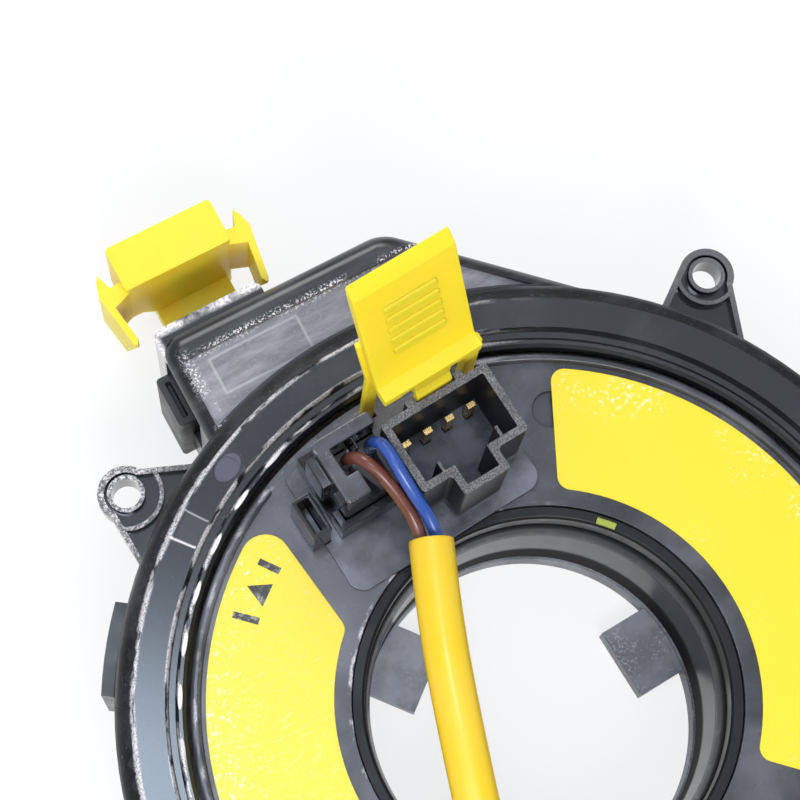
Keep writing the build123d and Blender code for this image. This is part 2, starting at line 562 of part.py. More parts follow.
def airbag_header():
    """Yellow header: a shell open to +Y on a narrower chin, a low neck into the bay, two rocking levers."""
    across, down = CHIN_SLOPE
    chin = HEADER_LEFT + CHIN_INSET
    back = [(HEADER_LEFT, HEADER_TOP), (HEADER_RIGHT, HEADER_TOP), (HEADER_RIGHT, CHIN_LOW), (chin, CHIN_LOW),
            (chin, HEADER_LOW - down), (chin - across, HEADER_LOW), (HEADER_LEFT, HEADER_LOW)]
    outline = make_face(Polyline(*[(x, HEADER_NEAR, z) for x, z in back], close=True))
    header = round_upright(extrude(outline, HEADER_LONG, dir=(0, 1, 0)), SMALL_ROUND)
    header += block(NECK_LEFT, NECK_RIGHT, BAY_OUT - BAY_WALL, HEADER_NEAR, CHIN_LOW, NECK_TOP)
    corner = make_face(Polyline(*[(HEADER_LEFT - HEADER_WIDE, HEADER_NEAR + forward, HEADER_LOW + rise)
                                  for forward, rise in LEVER_CUT], close=True))
    corner = extrude(corner, 3 * HEADER_WIDE, dir=(1, 0, 0))
    for side, face in ((-1, HEADER_LEFT), (1, HEADER_RIGHT)):
        plan = flat([(face + side * out, HEADER_NEAR + forward) for out, forward in LEVER], HEADER_LOW)
        header += raised(plan, HEADER_TOP - LEVER_DROP - HEADER_LOW) - corner
    header -= block(HEADER_LEFT + HEADER_WALL, HEADER_RIGHT - HEADER_WALL, HEADER_FAR - HEADER_DEPTH,
                    HEADER_FAR + 1, HEADER_LOW + HEADER_WALL, HEADER_TOP - HEADER_WALL)
    for pin in header_pins(SEAT):
        header -= pin
    return header


def body_pin_xs():
    pitch = (BODY_WIDE - 2 * BODY_PIN_EDGE) / (BODY_PINS - 1)
    return [BODY_LEFT + BODY_PIN_EDGE + n * pitch for n in range(BODY_PINS)]


def body_connector():
    """Black harness header under the bay, open to the rear, with a latch pocket at its end."""
    shell = round_upright(body_connector_hole(0, BODY_TOP), SMALL_ROUND)
    mouth = block(BODY_LEFT + BODY_WALL, BODY_RIGHT - BODY_WALL, BODY_NEAR + BODY_WALL, BODY_FAR - BODY_WALL,
                  -1, BODY_DEPTH)
    pocket = block(BODY_LEFT + BODY_WALL, BAY_LEFT - SEAT, BODY_NEAR + BODY_WALL, BODY_FAR - BODY_WALL,
                   BODY_TOP - 2 * BODY_WALL, BODY_TOP + 1)
    shell = shell - mouth - pocket
    for x in body_pin_xs():
        half = PIN / 2 + SEAT
        y = (BODY_NEAR + BODY_FAR) / 2
        shell -= block(x - half, x + half, y - half, y + half, BODY_DEPTH - 1, BODY_TOP - 3 * BODY_WALL)
    return shell


def body_pins():
    half = PIN / 2
    y = (BODY_NEAR + BODY_FAR) / 2
    return Compound(children=[
        block(x - half, x + half, y - half, y + half, BODY_DEPTH - BODY_PIN_LONG, BODY_TOP - 3 * BODY_WALL)
        for x in body_pin_xs()])


def stator_terminal_block():
    half = BLOCK_WIDE / 2
    return block(-half, half, CHAMBER_R - CASE_WALL, CASE_R + SMALL_ROUND, BLOCK_LOW, BLOCK_TOP)


def flat_cable():
    """The ribbon's turns, as half circles that grow by half a pitch each."""
    half = CABLE_THICK / 2
    outer_edges, inner_edges = [], []
    radius, centre = CABLE_START_R, 0.0
    for n in range(2 * CABLE_TURNS):
        start = HALF_TURN_ANGLE / 2 + HALF_TURN_ANGLE * n
        outer_edges.append(CenterArc((0, centre, CABLE_LOW), radius + half, start, HALF_TURN_ANGLE))
        inner_edges.append(CenterArc((0, centre, CABLE_LOW), radius - half, start, HALF_TURN_ANGLE))
        step = CABLE_PITCH / 4
        radius += step
        centre += step if n % 2 == 0 else -step
    first = Line(outer_edges[0] @ 0, inner_edges[0] @ 0)
    last = Line(outer_edges[-1] @ 1, inner_edges[-1] @ 1)
    return raised(make_face(outer_edges + inner_edges + [first, last]), CABLE_TALL)


# ---------------------------------------------------------------- rotor
def tab_legs(play=0.0):
    """The lock tab's two legs: a thin strap behind the base, and a shorter leg behind the socket."""
    low = DISC_TOP - TAB_LEG_DEEP - play
    strap_x, strap_y = TAB_LEFT - TAB_LEG_OUT, BASE_FAR + STRAP_STAND
    leg_x = TAB_RIGHT - TAB_LEG_WIDTH + TAB_LEG_OUT
    strap = block(strap_x - play, strap_x + TAB_LEG_WIDTH + play, strap_y - play, strap_y + STRAP_THICK + play,
                  low, GROUP_TOP + STRAP_TALL)
    leg = block(leg_x - play, leg_x + TAB_LEG_WIDTH + play, TAB_LEG_NEAR - play,
                TAB_LEG_NEAR + TAB_LEG_THICK + play, low, GROUP_TOP + TAB_LEG_TALL)
    return strap + leg


def rotor_disc():
    body = turned_profile([
        (HUB_R, HUB_FOOT), (HUB_R, DISC_TOP), (RIM_R, DISC_TOP), (RIM_R, DISC_TOP + RIM_RISE - EDGE_CUT),
        (RIM_R + EDGE_CUT, DISC_TOP + RIM_RISE), (DISC_R - EDGE_CUT, DISC_TOP + RIM_RISE),
        (DISC_R, DISC_TOP + RIM_RISE - EDGE_CUT), (DISC_R, DISC_UNDER), (HUB_R + HUB_WALL, DISC_UNDER),
        (HUB_R + HUB_WALL, HUB_FOOT),
    ])
    body -= sector(RIM_R - 1, DISC_R + 1, *RIM_GAP_ANGLES, DISC_TOP, DISC_TOP + 2 * RIM_RISE)
    body -= Pos(*polar(RIM_R - DISC_MARK_IN, DISC_MARK_ANGLE, DISC_TOP)) * Cylinder(DISC_MARK_R, DISC_THICK)
    return body - tab_legs(TAB_LEG_GAP)


def rotor_terminal_block():
    half = BLOCK_WIDE / 2
    near = HUB_R + HUB_WALL
    body = block(-half, half, near - 1, near + BLOCK_DEEP, BLOCK_LOW, DISC_UNDER)
    return body - disc(near + SEAT, 0, COVER_TOP)


def hub_sleeve():
    return turned_profile([
        (SLEEVE_BORE_R, CANCEL_THICK), (SLEEVE_R, CANCEL_THICK), (SLEEVE_R, SLEEVE_TOP),
        (BEZEL_BORE_R - BEZEL_GAP, SLEEVE_TOP), (SLEEVE_BORE_R, SLEEVE_TOP - BEZEL_TALL),
    ])


def index_slot(play=0.0):
    middle = (BEZEL_BORE_R + BEZEL_R) / 2
    spare = degrees(play / middle)
    return sector(middle - INDEX_WIDE / 2 - play, middle + INDEX_WIDE / 2 + play, INDEX_ANGLES[0] - spare,
                  INDEX_ANGLES[1] + spare, SLEEVE_TOP + SMALL_ROUND, BEZEL_TOP + 1)


def hub_bezel():
    ring = turned_profile([
        (BEZEL_BORE_R, SLEEVE_TOP), (BEZEL_R, SLEEVE_TOP), (BEZEL_R, BEZEL_TOP),
        (BEZEL_BORE_R + EDGE_CUT, BEZEL_TOP), (BEZEL_BORE_R, BEZEL_TOP - EDGE_CUT),
    ])
    return ring - index_slot()


def index_mark():
    return index_slot(-SEAT) - disc(HUB_R, BEZEL_TOP - INDEX_SUNK, BEZEL_TOP + 2)


def cancel_ring():
    body = turned_profile([
        (CANCEL_BORE_R, 0), (CANCEL_R - SMALL_ROUND, 0), (CANCEL_R, SMALL_ROUND), (CANCEL_R, CANCEL_THICK),
        (CANCEL_BORE_R + SMALL_ROUND, CANCEL_THICK), (CANCEL_BORE_R, CANCEL_THICK - SMALL_ROUND),
    ])
    for angle in LUG_ANGLES:
        body += Rot(0, 0, angle) * block(CANCEL_BORE_R - LUG_REACH, CANCEL_BORE_R + CANCEL_WIDE / 2,
                                         -LUG_WIDTH / 2, LUG_WIDTH / 2, 0, LUG_THICK)
    return body


def connector_base():
    plate = round_upright(block(BASE_LEFT, BASE_RIGHT, BASE_NEAR, BASE_FAR, DISC_TOP, BASE_TOP),
                          BASE_CORNER_R)
    plate = plate & disc(RIM_R - TAB_LEG_GAP, DISC_TOP, BASE_TOP)
    keeper = block(KEEPER_LEFT - SEAT, KEEPER_RIGHT + SEAT, KEEPER_NEAR - SEAT, KEEPER_FAR + SEAT,
                   DISC_TOP, BASE_TOP)
    return plate - tab_legs(TAB_LEG_GAP) - keeper


def pin_xs():
    pitch = (SOCKET_WIDE - 2 * PIN_EDGE) / (SOCKET_PINS - 1)
    return [SOCKET_LEFT + PIN_EDGE + n * pitch for n in range(SOCKET_PINS)]


def switch_socket():
    """Matte shroud with a keyed front, open upwards."""
    def shroud(inset, z0, z1):
        main = block(SOCKET_LEFT + inset, SOCKET_RIGHT - inset, SOCKET_NEAR + inset, SOCKET_FAR - inset,
                     z0, z1)
        return main + block(BUMP_LEFT + inset, BUMP_RIGHT - inset, BUMP_NEAR + inset,
                            SOCKET_NEAR + 2 * SOCKET_WALL, z0, z1)

    body = round_upright(shroud(0, BASE_TOP, GROUP_TOP), SMALL_ROUND)
    body -= shroud(SOCKET_WALL, BASE_TOP + SOCKET_FLOOR, GROUP_TOP + 1)
    front = SOCKET_NEAR + SOCKET_WALL
    for x in (BUMP_LEFT - KEY_RIB_LEFT, BUMP_RIGHT + KEY_RIB_RIGHT):
        body += block(x - KEY_RIB / 2, x + KEY_RIB / 2, front, front + KEY_RIB_LONG,
                      BASE_TOP + SOCKET_FLOOR, GROUP_TOP)
    for x in BACK_RIB_XS:
        body += block(x - BACK_RIB_WIDE / 2, x + BACK_RIB_WIDE / 2, SOCKET_FAR, SOCKET_FAR + BACK_RIB_PROUD,
                      BASE_TOP, GROUP_TOP)
    for x in pin_xs():
        half, thick = PIN_WIDTH / 2 + SEAT, PIN / 2 + SEAT
        body -= block(x - half, x + half, PIN_Y - thick, PIN_Y + thick, BASE_TOP, BASE_TOP + SOCKET_FLOOR)
    return body


def socket_pins():
    half, thick = PIN_WIDTH / 2, PIN / 2
    pins = [block(x - half, x + half, PIN_Y - thick, PIN_Y + thick, BASE_TOP, BASE_TOP + PIN_TALL)
            for x in pin_xs()]
    return Compound(children=pins)


def plug_tray():
    """The low tray that holds the lead plug on the base."""
    low, high = BASE_TOP, BASE_TOP + TRAY_TALL
    out = TRAY_WALL + SEAT
    body = block(PLUG_LEFT - out, PLUG_RIGHT, PLUG_NEAR - out, PLUG_FAR + out, low, high)
    body -= block(PLUG_LEFT - SEAT, PLUG_RIGHT + 1, PLUG_NEAR - SEAT, PLUG_FAR + SEAT, TRAY_TOP, high + 1)
    key = PLUG_FAR - 2 * PLUG_WALL
    body -= block(PLUG_LEFT - 2 * out, PLUG_LEFT, PLUG_NEAR + PLUG_WALL, key, TRAY_TOP, high + 1)
    return body & disc(RIM_R - TAB_LEG_GAP, low, high)


def lead_plug():
    """Two-way plug: cells open upwards and to the front, with a key bar on its side."""
    body = round_upright(block(PLUG_LEFT, PLUG_RIGHT, PLUG_NEAR, PLUG_FAR, TRAY_TOP, GROUP_TOP), SMALL_ROUND)
    low = GROUP_TOP - PLUG_CAVITY
    left, back = PLUG_LEFT + PLUG_WALL, PLUG_FAR - PLUG_WALL
    body -= block(left, PLUG_RIGHT + 1, PLUG_NEAR + PLUG_FRONT_WALL, back, low, GROUP_TOP + 1)
    body -= block(PLUG_LEFT + PLUG_FRONT_WIDE, PLUG_RIGHT + 1, PLUG_NEAR - 1, back, low, GROUP_TOP + 1)
    divider = PLUG_LEFT + DIVIDER_IN
    body += block(divider - DIVIDER_THICK / 2, divider + DIVIDER_THICK / 2, back - DIVIDER_LONG, back, low,
                  GROUP_TOP - SMALL_ROUND)
    key_top = GROUP_TOP - PLUG_WALL
    body += block(PLUG_LEFT - KEY_BAR, PLUG_LEFT, back - 2 * PLUG_WALL, back + SMALL_ROUND,
                  BASE_TOP + TRAY_TALL + SEAT, key_top)
    return body


def latch_keeper():
    top = DISC_TOP + KEEPER_TALL
    body = block(KEEPER_LEFT, KEEPER_RIGHT, KEEPER_NEAR, KEEPER_FAR, DISC_TOP, top)
    wall = KEEPER_WALL
    return body - block(KEEPER_LEFT + wall, KEEPER_RIGHT - wall, KEEPER_NEAR + wall, KEEPER_FAR - wall,
                        DISC_TOP + KEEPER_WIDE, top + 1)


def right_label():
    end = degrees(atan2(BASE_NEAR, BASE_RIGHT)) - LABEL_CLEAR_ANGLE
    body = sector(LABEL_INNER_R, LABEL_OUTER_R, RIGHT_LABEL_ANGLE, end, DISC_TOP, DISC_TOP + LABEL_THICK,
                  LABEL_LEAN_ANGLE)
    return round_upright(body, LABEL_CORNER_R)


def left_label():
    body = sector(LABEL_INNER_R, LABEL_OUTER_R, 90, LEFT_LABEL_ANGLE, DISC_TOP, DISC_TOP + LABEL_THICK)
    far_x, near_x = BASE_LEFT - LABEL_FAR_GAP, BASE_LEFT - LABEL_NEAR_GAP
    lean = (far_x - near_x) / (BASE_FAR - BASE_NEAR)
    cut = flat([(far_x + (LABEL_OUTER_R - BASE_FAR) * lean, LABEL_OUTER_R), (0, LABEL_OUTER_R), (0, 0),
                (near_x - BASE_NEAR * lean, 0)], DISC_TOP)
    def corners(shape):
        return shape.edges().filter_by(Axis.Z).sort_by_distance((far_x, LABEL_OUTER_R, DISC_TOP))

    body = fillet(corners(body - raised(cut, LABEL_THICK))[1:], LABEL_CORNER_R)
    return fillet(corners(body)[0], LABEL_WIDE_CORNER_R)


# ---------------------------------------------------------------- lock tab
def lock_tab():
    """Pull tab: a leaning ribbed plate with a nose at its tip, a lipped and notched foot, and two legs."""
    def place(point):
        return TAB_LEG_NEAR + point[0], GROUP_TOP + point[1]

    foot, lip, fold, brow, tip = [place(p) for p in (TAB_FOOT, TAB_LIP, TAB_FOLD, TAB_BROW, TAB_TIP)]
    lean = atan2(brow[0] - fold[0], brow[1] - fold[1])
    back = (TAB_THICK * cos(lean), -TAB_THICK * sin(lean))
    heel = foot[0] + TAB_FOOT_THICK
    outline = [foot, lip, fold, brow, tip, (brow[0] + back[0], brow[1] + back[1]),
               (fold[0] + back[0], fold[1] + back[1]), (heel, fold[1] - TAB_THICK), (heel, foot[1])]
    side = make_face(Polyline(*[(TAB_LEFT, y, z) for y, z in outline], close=True))
    tab = extrude(side, TAB_RIGHT - TAB_LEFT, dir=(1, 0, 0))
    for x in BACK_RIB_XS:
        tab -= block(x - NOTCH_HALF, x + NOTCH_HALF, foot[0] - 1, heel + 1, foot[1] - 1, foot[1] + NOTCH_RISE)
    for end, rib in zip((TAB_LEFT - 1, TAB_RIGHT + 1), BACK_RIB_XS):
        tab -= block(min(end, rib), max(end, rib), foot[0] - 1, heel + 1, foot[1] - 1, foot[1] + SHORT_RISE)
    strap_x, strap_y, strap_z = TAB_LEFT - TAB_LEG_OUT, BASE_FAR + STRAP_STAND, GROUP_TOP + STRAP_TALL
    strap = [(strap_y, strap_z - 1), (strap_y + STRAP_THICK, strap_z - 1), (strap_y + STRAP_THICK, strap_z),
             (strap_y + STRAP_THICK + STRAP_REACH[0], strap_z + STRAP_REACH[1]),
             (strap_y + STRAP_REACH[0], strap_z + STRAP_REACH[1]), (strap_y, strap_z)]
    strap = make_face(Polyline(*[(strap_x, y, z) for y, z in strap], close=True))
    tab += tab_legs() + extrude(strap, TAB_LEG_WIDTH, dir=(1, 0, 0))
    middle = (TAB_LEFT + TAB_RIGHT) / 2
    for n in range(RIB_COUNT):
        share = RIB_FIRST_SHARE + n * RIB_PITCH / hypot(brow[0] - fold[0], brow[1] - fold[1])
        y, z = fold[0] + share * (brow[0] - fold[0]), fold[1] + share * (brow[1] - fold[1])
        bar = Box(RIB_LONG, 2 * RIB_PROUD, RIB_TALL)
        tab += Pos(middle, y, z) * Rot(-degrees(lean), 0, 0) * fillet(bar.edges().filter_by(Axis.Y), RIB_ROUND)
    return tab


# ---------------------------------------------------------------- lead
def beside(route, shift):
    """A route's points moved sideways in plan, to the left of its direction."""
    moved = []
    for n, (x, y, z) in enumerate(route):
        runs = [(route[k + 1][0] - route[k][0], route[k + 1][1] - route[k][1])
                for k in (n - 1, n) if 0 <= k < len(route) - 1]
        units = [(dx / hypot(dx, dy), dy / hypot(dx, dy)) for dx, dy in runs]
        tx, ty = sum(u[0] for u in units), sum(u[1] for u in units)
        size = hypot(tx, ty)
        stretch = shift * len(units) / size
        moved.append((x - ty / size * stretch, y + tx / size * stretch, z))
    return moved


def cord_path(name, route, width):
    """Straight runs joined by tangent arcs, as large as the runs allow."""
    points = [Vector(*p) for p in route]
    runs = [b - a for a, b in zip(points, points[1:])]
    radii = [ARC_SHARE * min(a.length, b.length) / tan(radians(a.get_angle(b)) / 2)
             for a, b in zip(runs, runs[1:])]
    print(name, "arc radii in diameters:", [round(r / width, 1) for r in radii])
    return FilletPolyline(*points, radius=radii)


def tube(name, route, width, bore=0.0):
    path = cord_path(name, route, width)
    plane = Plane(origin=path @ 0, z_dir=path % 0)
    body = sweep(plane * Circle(width / 2), path=path)
    if bore:
        body -= sweep(plane * Circle(bore / 2), path=path)
    area = pi * (width ** 2 - bore ** 2) / 4
    print(name, "length", round(path.length, 2), "volume share", round(body.volume / (area * path.length), 4))
    return body


def along(a, b, reach):
    """The point that lies a given distance past b on the line from a."""
    start, end = Vector(*a), Vector(*b)
    return tuple(end + (end - start).normalized() * reach)


def wire_route(start, rise, shift):
    """A wire from the plug, through the sleeve, into the squib connector."""
    head = [(PLUG_LEFT + start[0], PLUG_FAR + start[1], GROUP_TOP - PLUG_CAVITY + SEAT)]
    head += [(PLUG_LEFT + x, PLUG_FAR + y, GROUP_TOP + z) for x, y, z in rise]
    entry = along(LEAD_ROUTE[1], LEAD_ROUTE[0], WIRE_EXPOSED)
    tail = along(LEAD_ROUTE[-2], LEAD_ROUTE[-1], WIRE_TAIL)
    return head + beside([entry] + LEAD_ROUTE[1:-1] + [tail], shift)


def squib_connector():
    """Yellow connector that lies on the disc at the end of the lead."""
    (x0, y0, z0), (x1, y1, _) = LEAD_ROUTE[-2], LEAD_ROUTE[-1]
    heading = degrees(atan2(y1 - y0, x1 - x0))
    near = WIRE_TAIL - WIRE_SEATED
    low = DISC_TOP + LABEL_THICK - z0
    body = block(near, near + SQUIB_LONG, -SQUIB_WIDE / 2, SQUIB_WIDE / 2, low, low + SQUIB_TALL)
    body = round_upright(body, SQUIB_CORNER_R)
    for shift in (-WIRE_OFFSET, WIRE_OFFSET):
        hole = Cylinder(WIRE_D / 2 + SEAT, WIRE_SEATED)
        body -= Pos(near + WIRE_SEATED / 2, shift, 0) * Rot(0, 90, 0) * hole
    return Pos(x1, y1, z0) * Rot(0, 0, heading) * body


# ---------------------------------------------------------------- all pieces
save("upper_case", upper_case())
save("lower_case", lower_case())
save("airbag_header", airbag_header())
save("airbag_header_pins", Compound(children=header_pins()))
save("body_connector", body_connector())
save("body_connector_pins", body_pins())
save("stator_terminal_block", stator_terminal_block())
save("slip_sheet", disc(CHAMBER_R - RUN_GAP_Z, PLATE_TOP, PLATE_TOP + SLIP_THICK)
     - disc(HUB_R + HUB_WALL + RUN_GAP_Z, PLATE_TOP, PLATE_TOP + SLIP_THICK))
save("flat_cable", flat_cable())
save("rotor_disc", rotor_disc(), turned=True)
save("rotor_terminal_block", rotor_terminal_block(), turned=True)
save("hub_sleeve", hub_sleeve(), turned=True)
save("hub_bezel", hub_bezel(), turned=True)
save("index_mark", index_mark(), turned=True)
save("cancel_ring", cancel_ring(), turned=True)
save("connector_base", connector_base(), turned=True)
save("switch_socket", switch_socket(), turned=True)
save("socket_pins", socket_pins(), turned=True)
save("plug_tray", plug_tray(), turned=True)
save("lead_plug", lead_plug(), turned=True)
save("latch_keeper", latch_keeper(), turned=True)
save("label_right", right_label(), turned=True)
save("label_left", left_label(), turned=True)
save("lock_tab", lock_tab(), turned=True)
save("brown_wire", tube("brown wire", wire_route(BROWN_START, BROWN_RISE, -WIRE_OFFSET), WIRE_D), turned=True)
save("blue_wire", tube("blue wire", wire_route(BLUE_START, BLUE_RISE, WIRE_OFFSET), WIRE_D), turned=True)
save("lead_sleeve", tube("lead sleeve", LEAD_ROUTE, LEAD_D, LEAD_BORE_D), turned=True)
save("squib_connector", squib_connector(), turned=True)

for name, shape in parts.items():
    export_step(shape, f"parts/{name}.step")
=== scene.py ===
"""Steering clock spring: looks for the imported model, with its camera, lamps and floor."""

import math
from functools import partial

import bpy
from bpy.props import FloatProperty, FloatVectorProperty, PointerProperty
from bpy.types import Operator, Panel, PropertyGroup
from mathutils import Matrix, Vector


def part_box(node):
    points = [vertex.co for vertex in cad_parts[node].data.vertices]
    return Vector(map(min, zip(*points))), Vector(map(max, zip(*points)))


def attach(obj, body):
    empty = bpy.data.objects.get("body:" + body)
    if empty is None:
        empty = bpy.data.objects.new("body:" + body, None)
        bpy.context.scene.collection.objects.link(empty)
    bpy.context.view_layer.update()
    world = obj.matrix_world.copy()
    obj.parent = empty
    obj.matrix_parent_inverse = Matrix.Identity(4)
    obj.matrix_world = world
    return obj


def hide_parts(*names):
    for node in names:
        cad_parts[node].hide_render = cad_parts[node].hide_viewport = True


bl_info = {
    "name": "Steering Clock Spring",
    "version": (1, 0, 0),
    "blender": (4, 5, 0),
    "location": "View3D > Sidebar > Clock Spring",
    "description": "Builds the visible pieces, finishes and stage of a steering clock spring",
    "category": "Add Mesh",
}

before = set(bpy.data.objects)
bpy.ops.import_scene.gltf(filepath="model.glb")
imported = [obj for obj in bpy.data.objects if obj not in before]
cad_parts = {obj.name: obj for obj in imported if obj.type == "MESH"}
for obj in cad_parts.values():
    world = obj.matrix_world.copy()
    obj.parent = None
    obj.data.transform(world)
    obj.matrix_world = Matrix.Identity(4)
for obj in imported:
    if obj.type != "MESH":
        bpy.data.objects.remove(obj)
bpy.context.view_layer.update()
REST_TURN = math.radians(4)  # the rotor stands turned by this much from its own axes
MM = 0.001
OUTSIDE = 49.35  # just outside the round case, in millimetres from the axis


def colour(name, description, default):
    return FloatVectorProperty(name=name, description=description, default=default, subtype="COLOR",
                               min=0, max=1)


def length(name, description, millimetres):
    return FloatProperty(name=name, description=description, default=millimetres * MM, unit="LENGTH",
                         subtype="DISTANCE")


def share(name, description, default):
    return FloatProperty(name=name, description=description, default=default, min=0, max=1,
                         subtype="FACTOR")


# Sizes and colours
class CaseSettings(PropertyGroup):
    black: colour("Moulded black", "Base colour of the glossy case", (0.010, 0.011, 0.014))
    shoulder: colour("Shoulder black", "Duller black of the rounded outer edge", (0.012, 0.012, 0.013))
    panel: colour("Panel", "Violet grey of the recessed panel in the bay", (0.200, 0.190, 0.220))
    panel_dark: colour("Panel shade", "Darker clouds and the smooth tile of the panel", (0.105, 0.100, 0.130))
    mark: colour("Mould mark", "Round mark that the mould left on the annulus", (0.080, 0.080, 0.120))
    scuff: colour("Scuff", "Rubbed places of the case", (0.62, 0.62, 0.66))
    # Pale edge colour: partly frosted texture, partly painted highlight where light glints on moulded edges.
    frost: colour("Frost", "Pale frosting along moulded edges", (0.88, 0.84, 0.85))
    gloss: share("Gloss roughness", "Roughness of the polished annulus", 0.17)
    edge: length("Edge width", "Width of the rounding on moulded edges", 0.2)


class RotorSettings(PropertyGroup):
    disc: colour("Disc", "Semi gloss black of the rotor disc", (0.020, 0.021, 0.026))
    # One colour for random haze over the disc and for the painted sheen near the connector group.
    bloom: colour("Bloom", "Violet grey bloom on the disc", (0.42, 0.42, 0.50))
    # Pale edge colour of the disc: partly frosted texture, partly painted highlight.
    frost: colour("Frost", "Pale frosting on the disc's edges", (0.66, 0.65, 0.68))
    bore: colour("Bore", "Dark grey of the hub's inside", (0.040, 0.042, 0.048))
    bezel: colour("Bezel", "Gloss black of the hub's bezel", (0.008, 0.008, 0.009))
    cancel: colour("Cancel ring", "Blue grey of the cancel lugs", (0.210, 0.225, 0.260))
    index: colour("Index mark", "Painted mark seen in the bezel's window", (0.32, 0.38, 0.035))


class ConnectorSettings(PropertyGroup):
    grain: colour("Grained black", "Matte black of the switch socket", (0.024, 0.024, 0.025))
    gloss: colour("Gloss black", "Polished black of the lead plug", (0.010, 0.010, 0.012))
    # Painted sheen on the tops of the polished pieces and the socket floor, also used for fine specks in the
    # socket.
    bloom: colour("Bloom", "Blue grey sheen on the polished pieces", (0.40, 0.43, 0.52))
    gold: colour("Gold", "Plating of the contacts", (0.80, 0.55, 0.20))


class YellowSettings(PropertyGroup):
    tab: colour("Tab yellow", "Moulded yellow of the lock tab", (0.95, 0.70, 0.022))
    header: colour("Header yellow", "Moulded yellow of the airbag header", (0.95, 0.71, 0.035))
    label: colour("Label yellow", "Printed film of the two labels", (0.87, 0.66, 0.012))
    rubbed: colour("Rubbed film", "Pale specks where the film is worn", (0.90, 0.88, 0.74))
    print_black: colour("Print black", "Alignment marks on the left label", (0.020, 0.020, 0.018))


class LeadSettings(PropertyGroup):
    sleeve: colour("Sleeve yellow", "Soft sleeve round the two wires", (0.87, 0.58, 0.012))
    brown: colour("Brown", "Insulation of the brown wire", (0.135, 0.031, 0.015))
    blue: colour("Blue", "Insulation of the blue wire", (0.018, 0.075, 0.360))
    wire_width: length("Wire width", "Outside of one insulated wire", 1.5)
    sleeve_width: length("Sleeve width", "Outside of the sleeve", 5.1)
    sleeve_bore: length("Sleeve bore", "Inside of the sleeve", 4.1)


class StageSettings(PropertyGroup):
    floor: colour("Floor", "Pale floor under the object", (0.86, 0.87, 0.89))
    focal: FloatProperty(name="Focal length", description="Focal length of the camera in millimetres",
                         default=108, min=20, max=400)
    tent: colour("Tent", "Light of the tent round the object", (0.40, 0.42, 0.46))
    overhead: colour("Overhead", "Light of the tent straight above the object", (0.88, 0.90, 0.98))
    window: FloatVectorProperty(name="Window", description="Soft bluish light straight above the object",
                                default=(10.5, 12.8, 15.5), min=0)
    window_from: FloatVectorProperty(name="Window from", description="Where the window's light comes from",
                                     default=(-0.05, 0.078, 1.0), subtype="XYZ")
    key_power: FloatProperty(name="Key lamp", description="Power of the large soft lamp, in watts",
                             default=0.82, min=0)


# Shaders
def plain_finish(name, base, roughness, coat=None, **sockets):
    """A principled material and the object's own coordinates in it."""
    finish = bpy.data.materials.new(name)
    finish.use_nodes = True
    if coat:
        sockets["Coat_Weight"], sockets["Coat_Roughness"] = coat
    surfaced(finish, (*base, 1), roughness, **sockets)
    return finish, finish.node_tree.nodes.new("ShaderNodeTexCoord").outputs["Object"]


def fill(socket, value):
    """Link another node's output to an input, or write a plain value into it."""
    if isinstance(value, bpy.types.NodeSocket):
        socket.id_data.links.new(value, socket)
    else:
        socket.default_value = value


def put(kind, settings=None, **inputs):
    """A node in the tree that its inputs come from, with its settings and inputs."""
    source = next(value for value in inputs.values() if isinstance(value, bpy.types.NodeSocket))
    node = source.id_data.nodes.new("ShaderNode" + kind)
    for name, value in (settings or {}).items():
        setattr(node, name, value)
    for name, value in inputs.items():
        fill(node.inputs[int(name[1:]) if name[-1].isdigit() else name.replace("_", " ")], value)
    return node


def maths(operation, a, b=0.0, clamp=False):
    return put("Math", {"operation": operation, "use_clamp": clamp}, _0=a, _1=b).outputs[0]


def noise(where, scale, detail=3.0, roughness=0.55, distortion=0.0):
    return put("TexNoise", Vector=where, Scale=scale, Detail=detail, Roughness=roughness,
               Distortion=distortion).outputs["Fac"]


def spread(value, low, high, to_low=0.0, to_high=1.0):
    """A value's range from low to high, spread smoothly over another range."""
    return put("MapRange", {"interpolation_type": "SMOOTHSTEP"}, Value=value, From_Min=low, From_Max=high,
               To_Min=to_low, To_Max=to_high).outputs["Result"]


def cloud(where, scale, detail, low, high, to_low=0.0, to_high=1.0, rough=0.55, twist=0.0):
    """Noise with its range from low to high spread over another range."""
    return spread(noise(where, scale, detail, rough, twist), low, high, to_low, to_high)


def uneven(where, scale, low, high):
    """A slow drift between two values."""
    return cloud(where, scale, 3.0, 0.3, 0.7, low, high)


def stretched(where, scale, turn=0.0):
    """A place turned about z and scaled along each axis, so that noise runs in streaks."""
    return put("Mapping", Vector=where, Rotation=(0, 0, turn), Scale=scale).outputs[0]


def mixed(amount, a, b):
    """One colour turning into another."""
    node = put("Mix", {"data_type": "RGBA"}, Factor=amount)
    for socket, value in ((node.inputs[6], a), (node.inputs[7], b)):
        fill(socket, value if isinstance(value, bpy.types.NodeSocket) else (*value, 1))
    return node.outputs[2]


def coats(base, *layers):
    """A colour under layers, each an amount and its colour."""
    for amount, tone in layers:
        base = mixed(amount, base, tone)
    return base


def radius(where):
    """Distance from the rotor's axis in millimetres."""
    flat = put("VectorMath", {"operation": "MULTIPLY"}, _0=where, _1=(1 / MM, 1 / MM, 0)).outputs[0]
    return put("VectorMath", {"operation": "LENGTH"}, _0=flat).outputs["Value"]


def parts(where):
    """The three coordinates of a place in millimetres."""
    scaled = put("VectorMath", {"operation": "SCALE"}, _0=where, Scale=1 / MM).outputs[0]
    return put("SeparateXYZ", Vector=scaled).outputs


def height(where):
    return parts(where)["Z"]


def bearing(where):
    """Angle round the axis in degrees, 0 to 360."""
    x, y, _ = parts(where)
    return maths("FLOORED_MODULO", maths("MULTIPLY", maths("ARCTAN2", y, x), 180 / math.pi), 360)


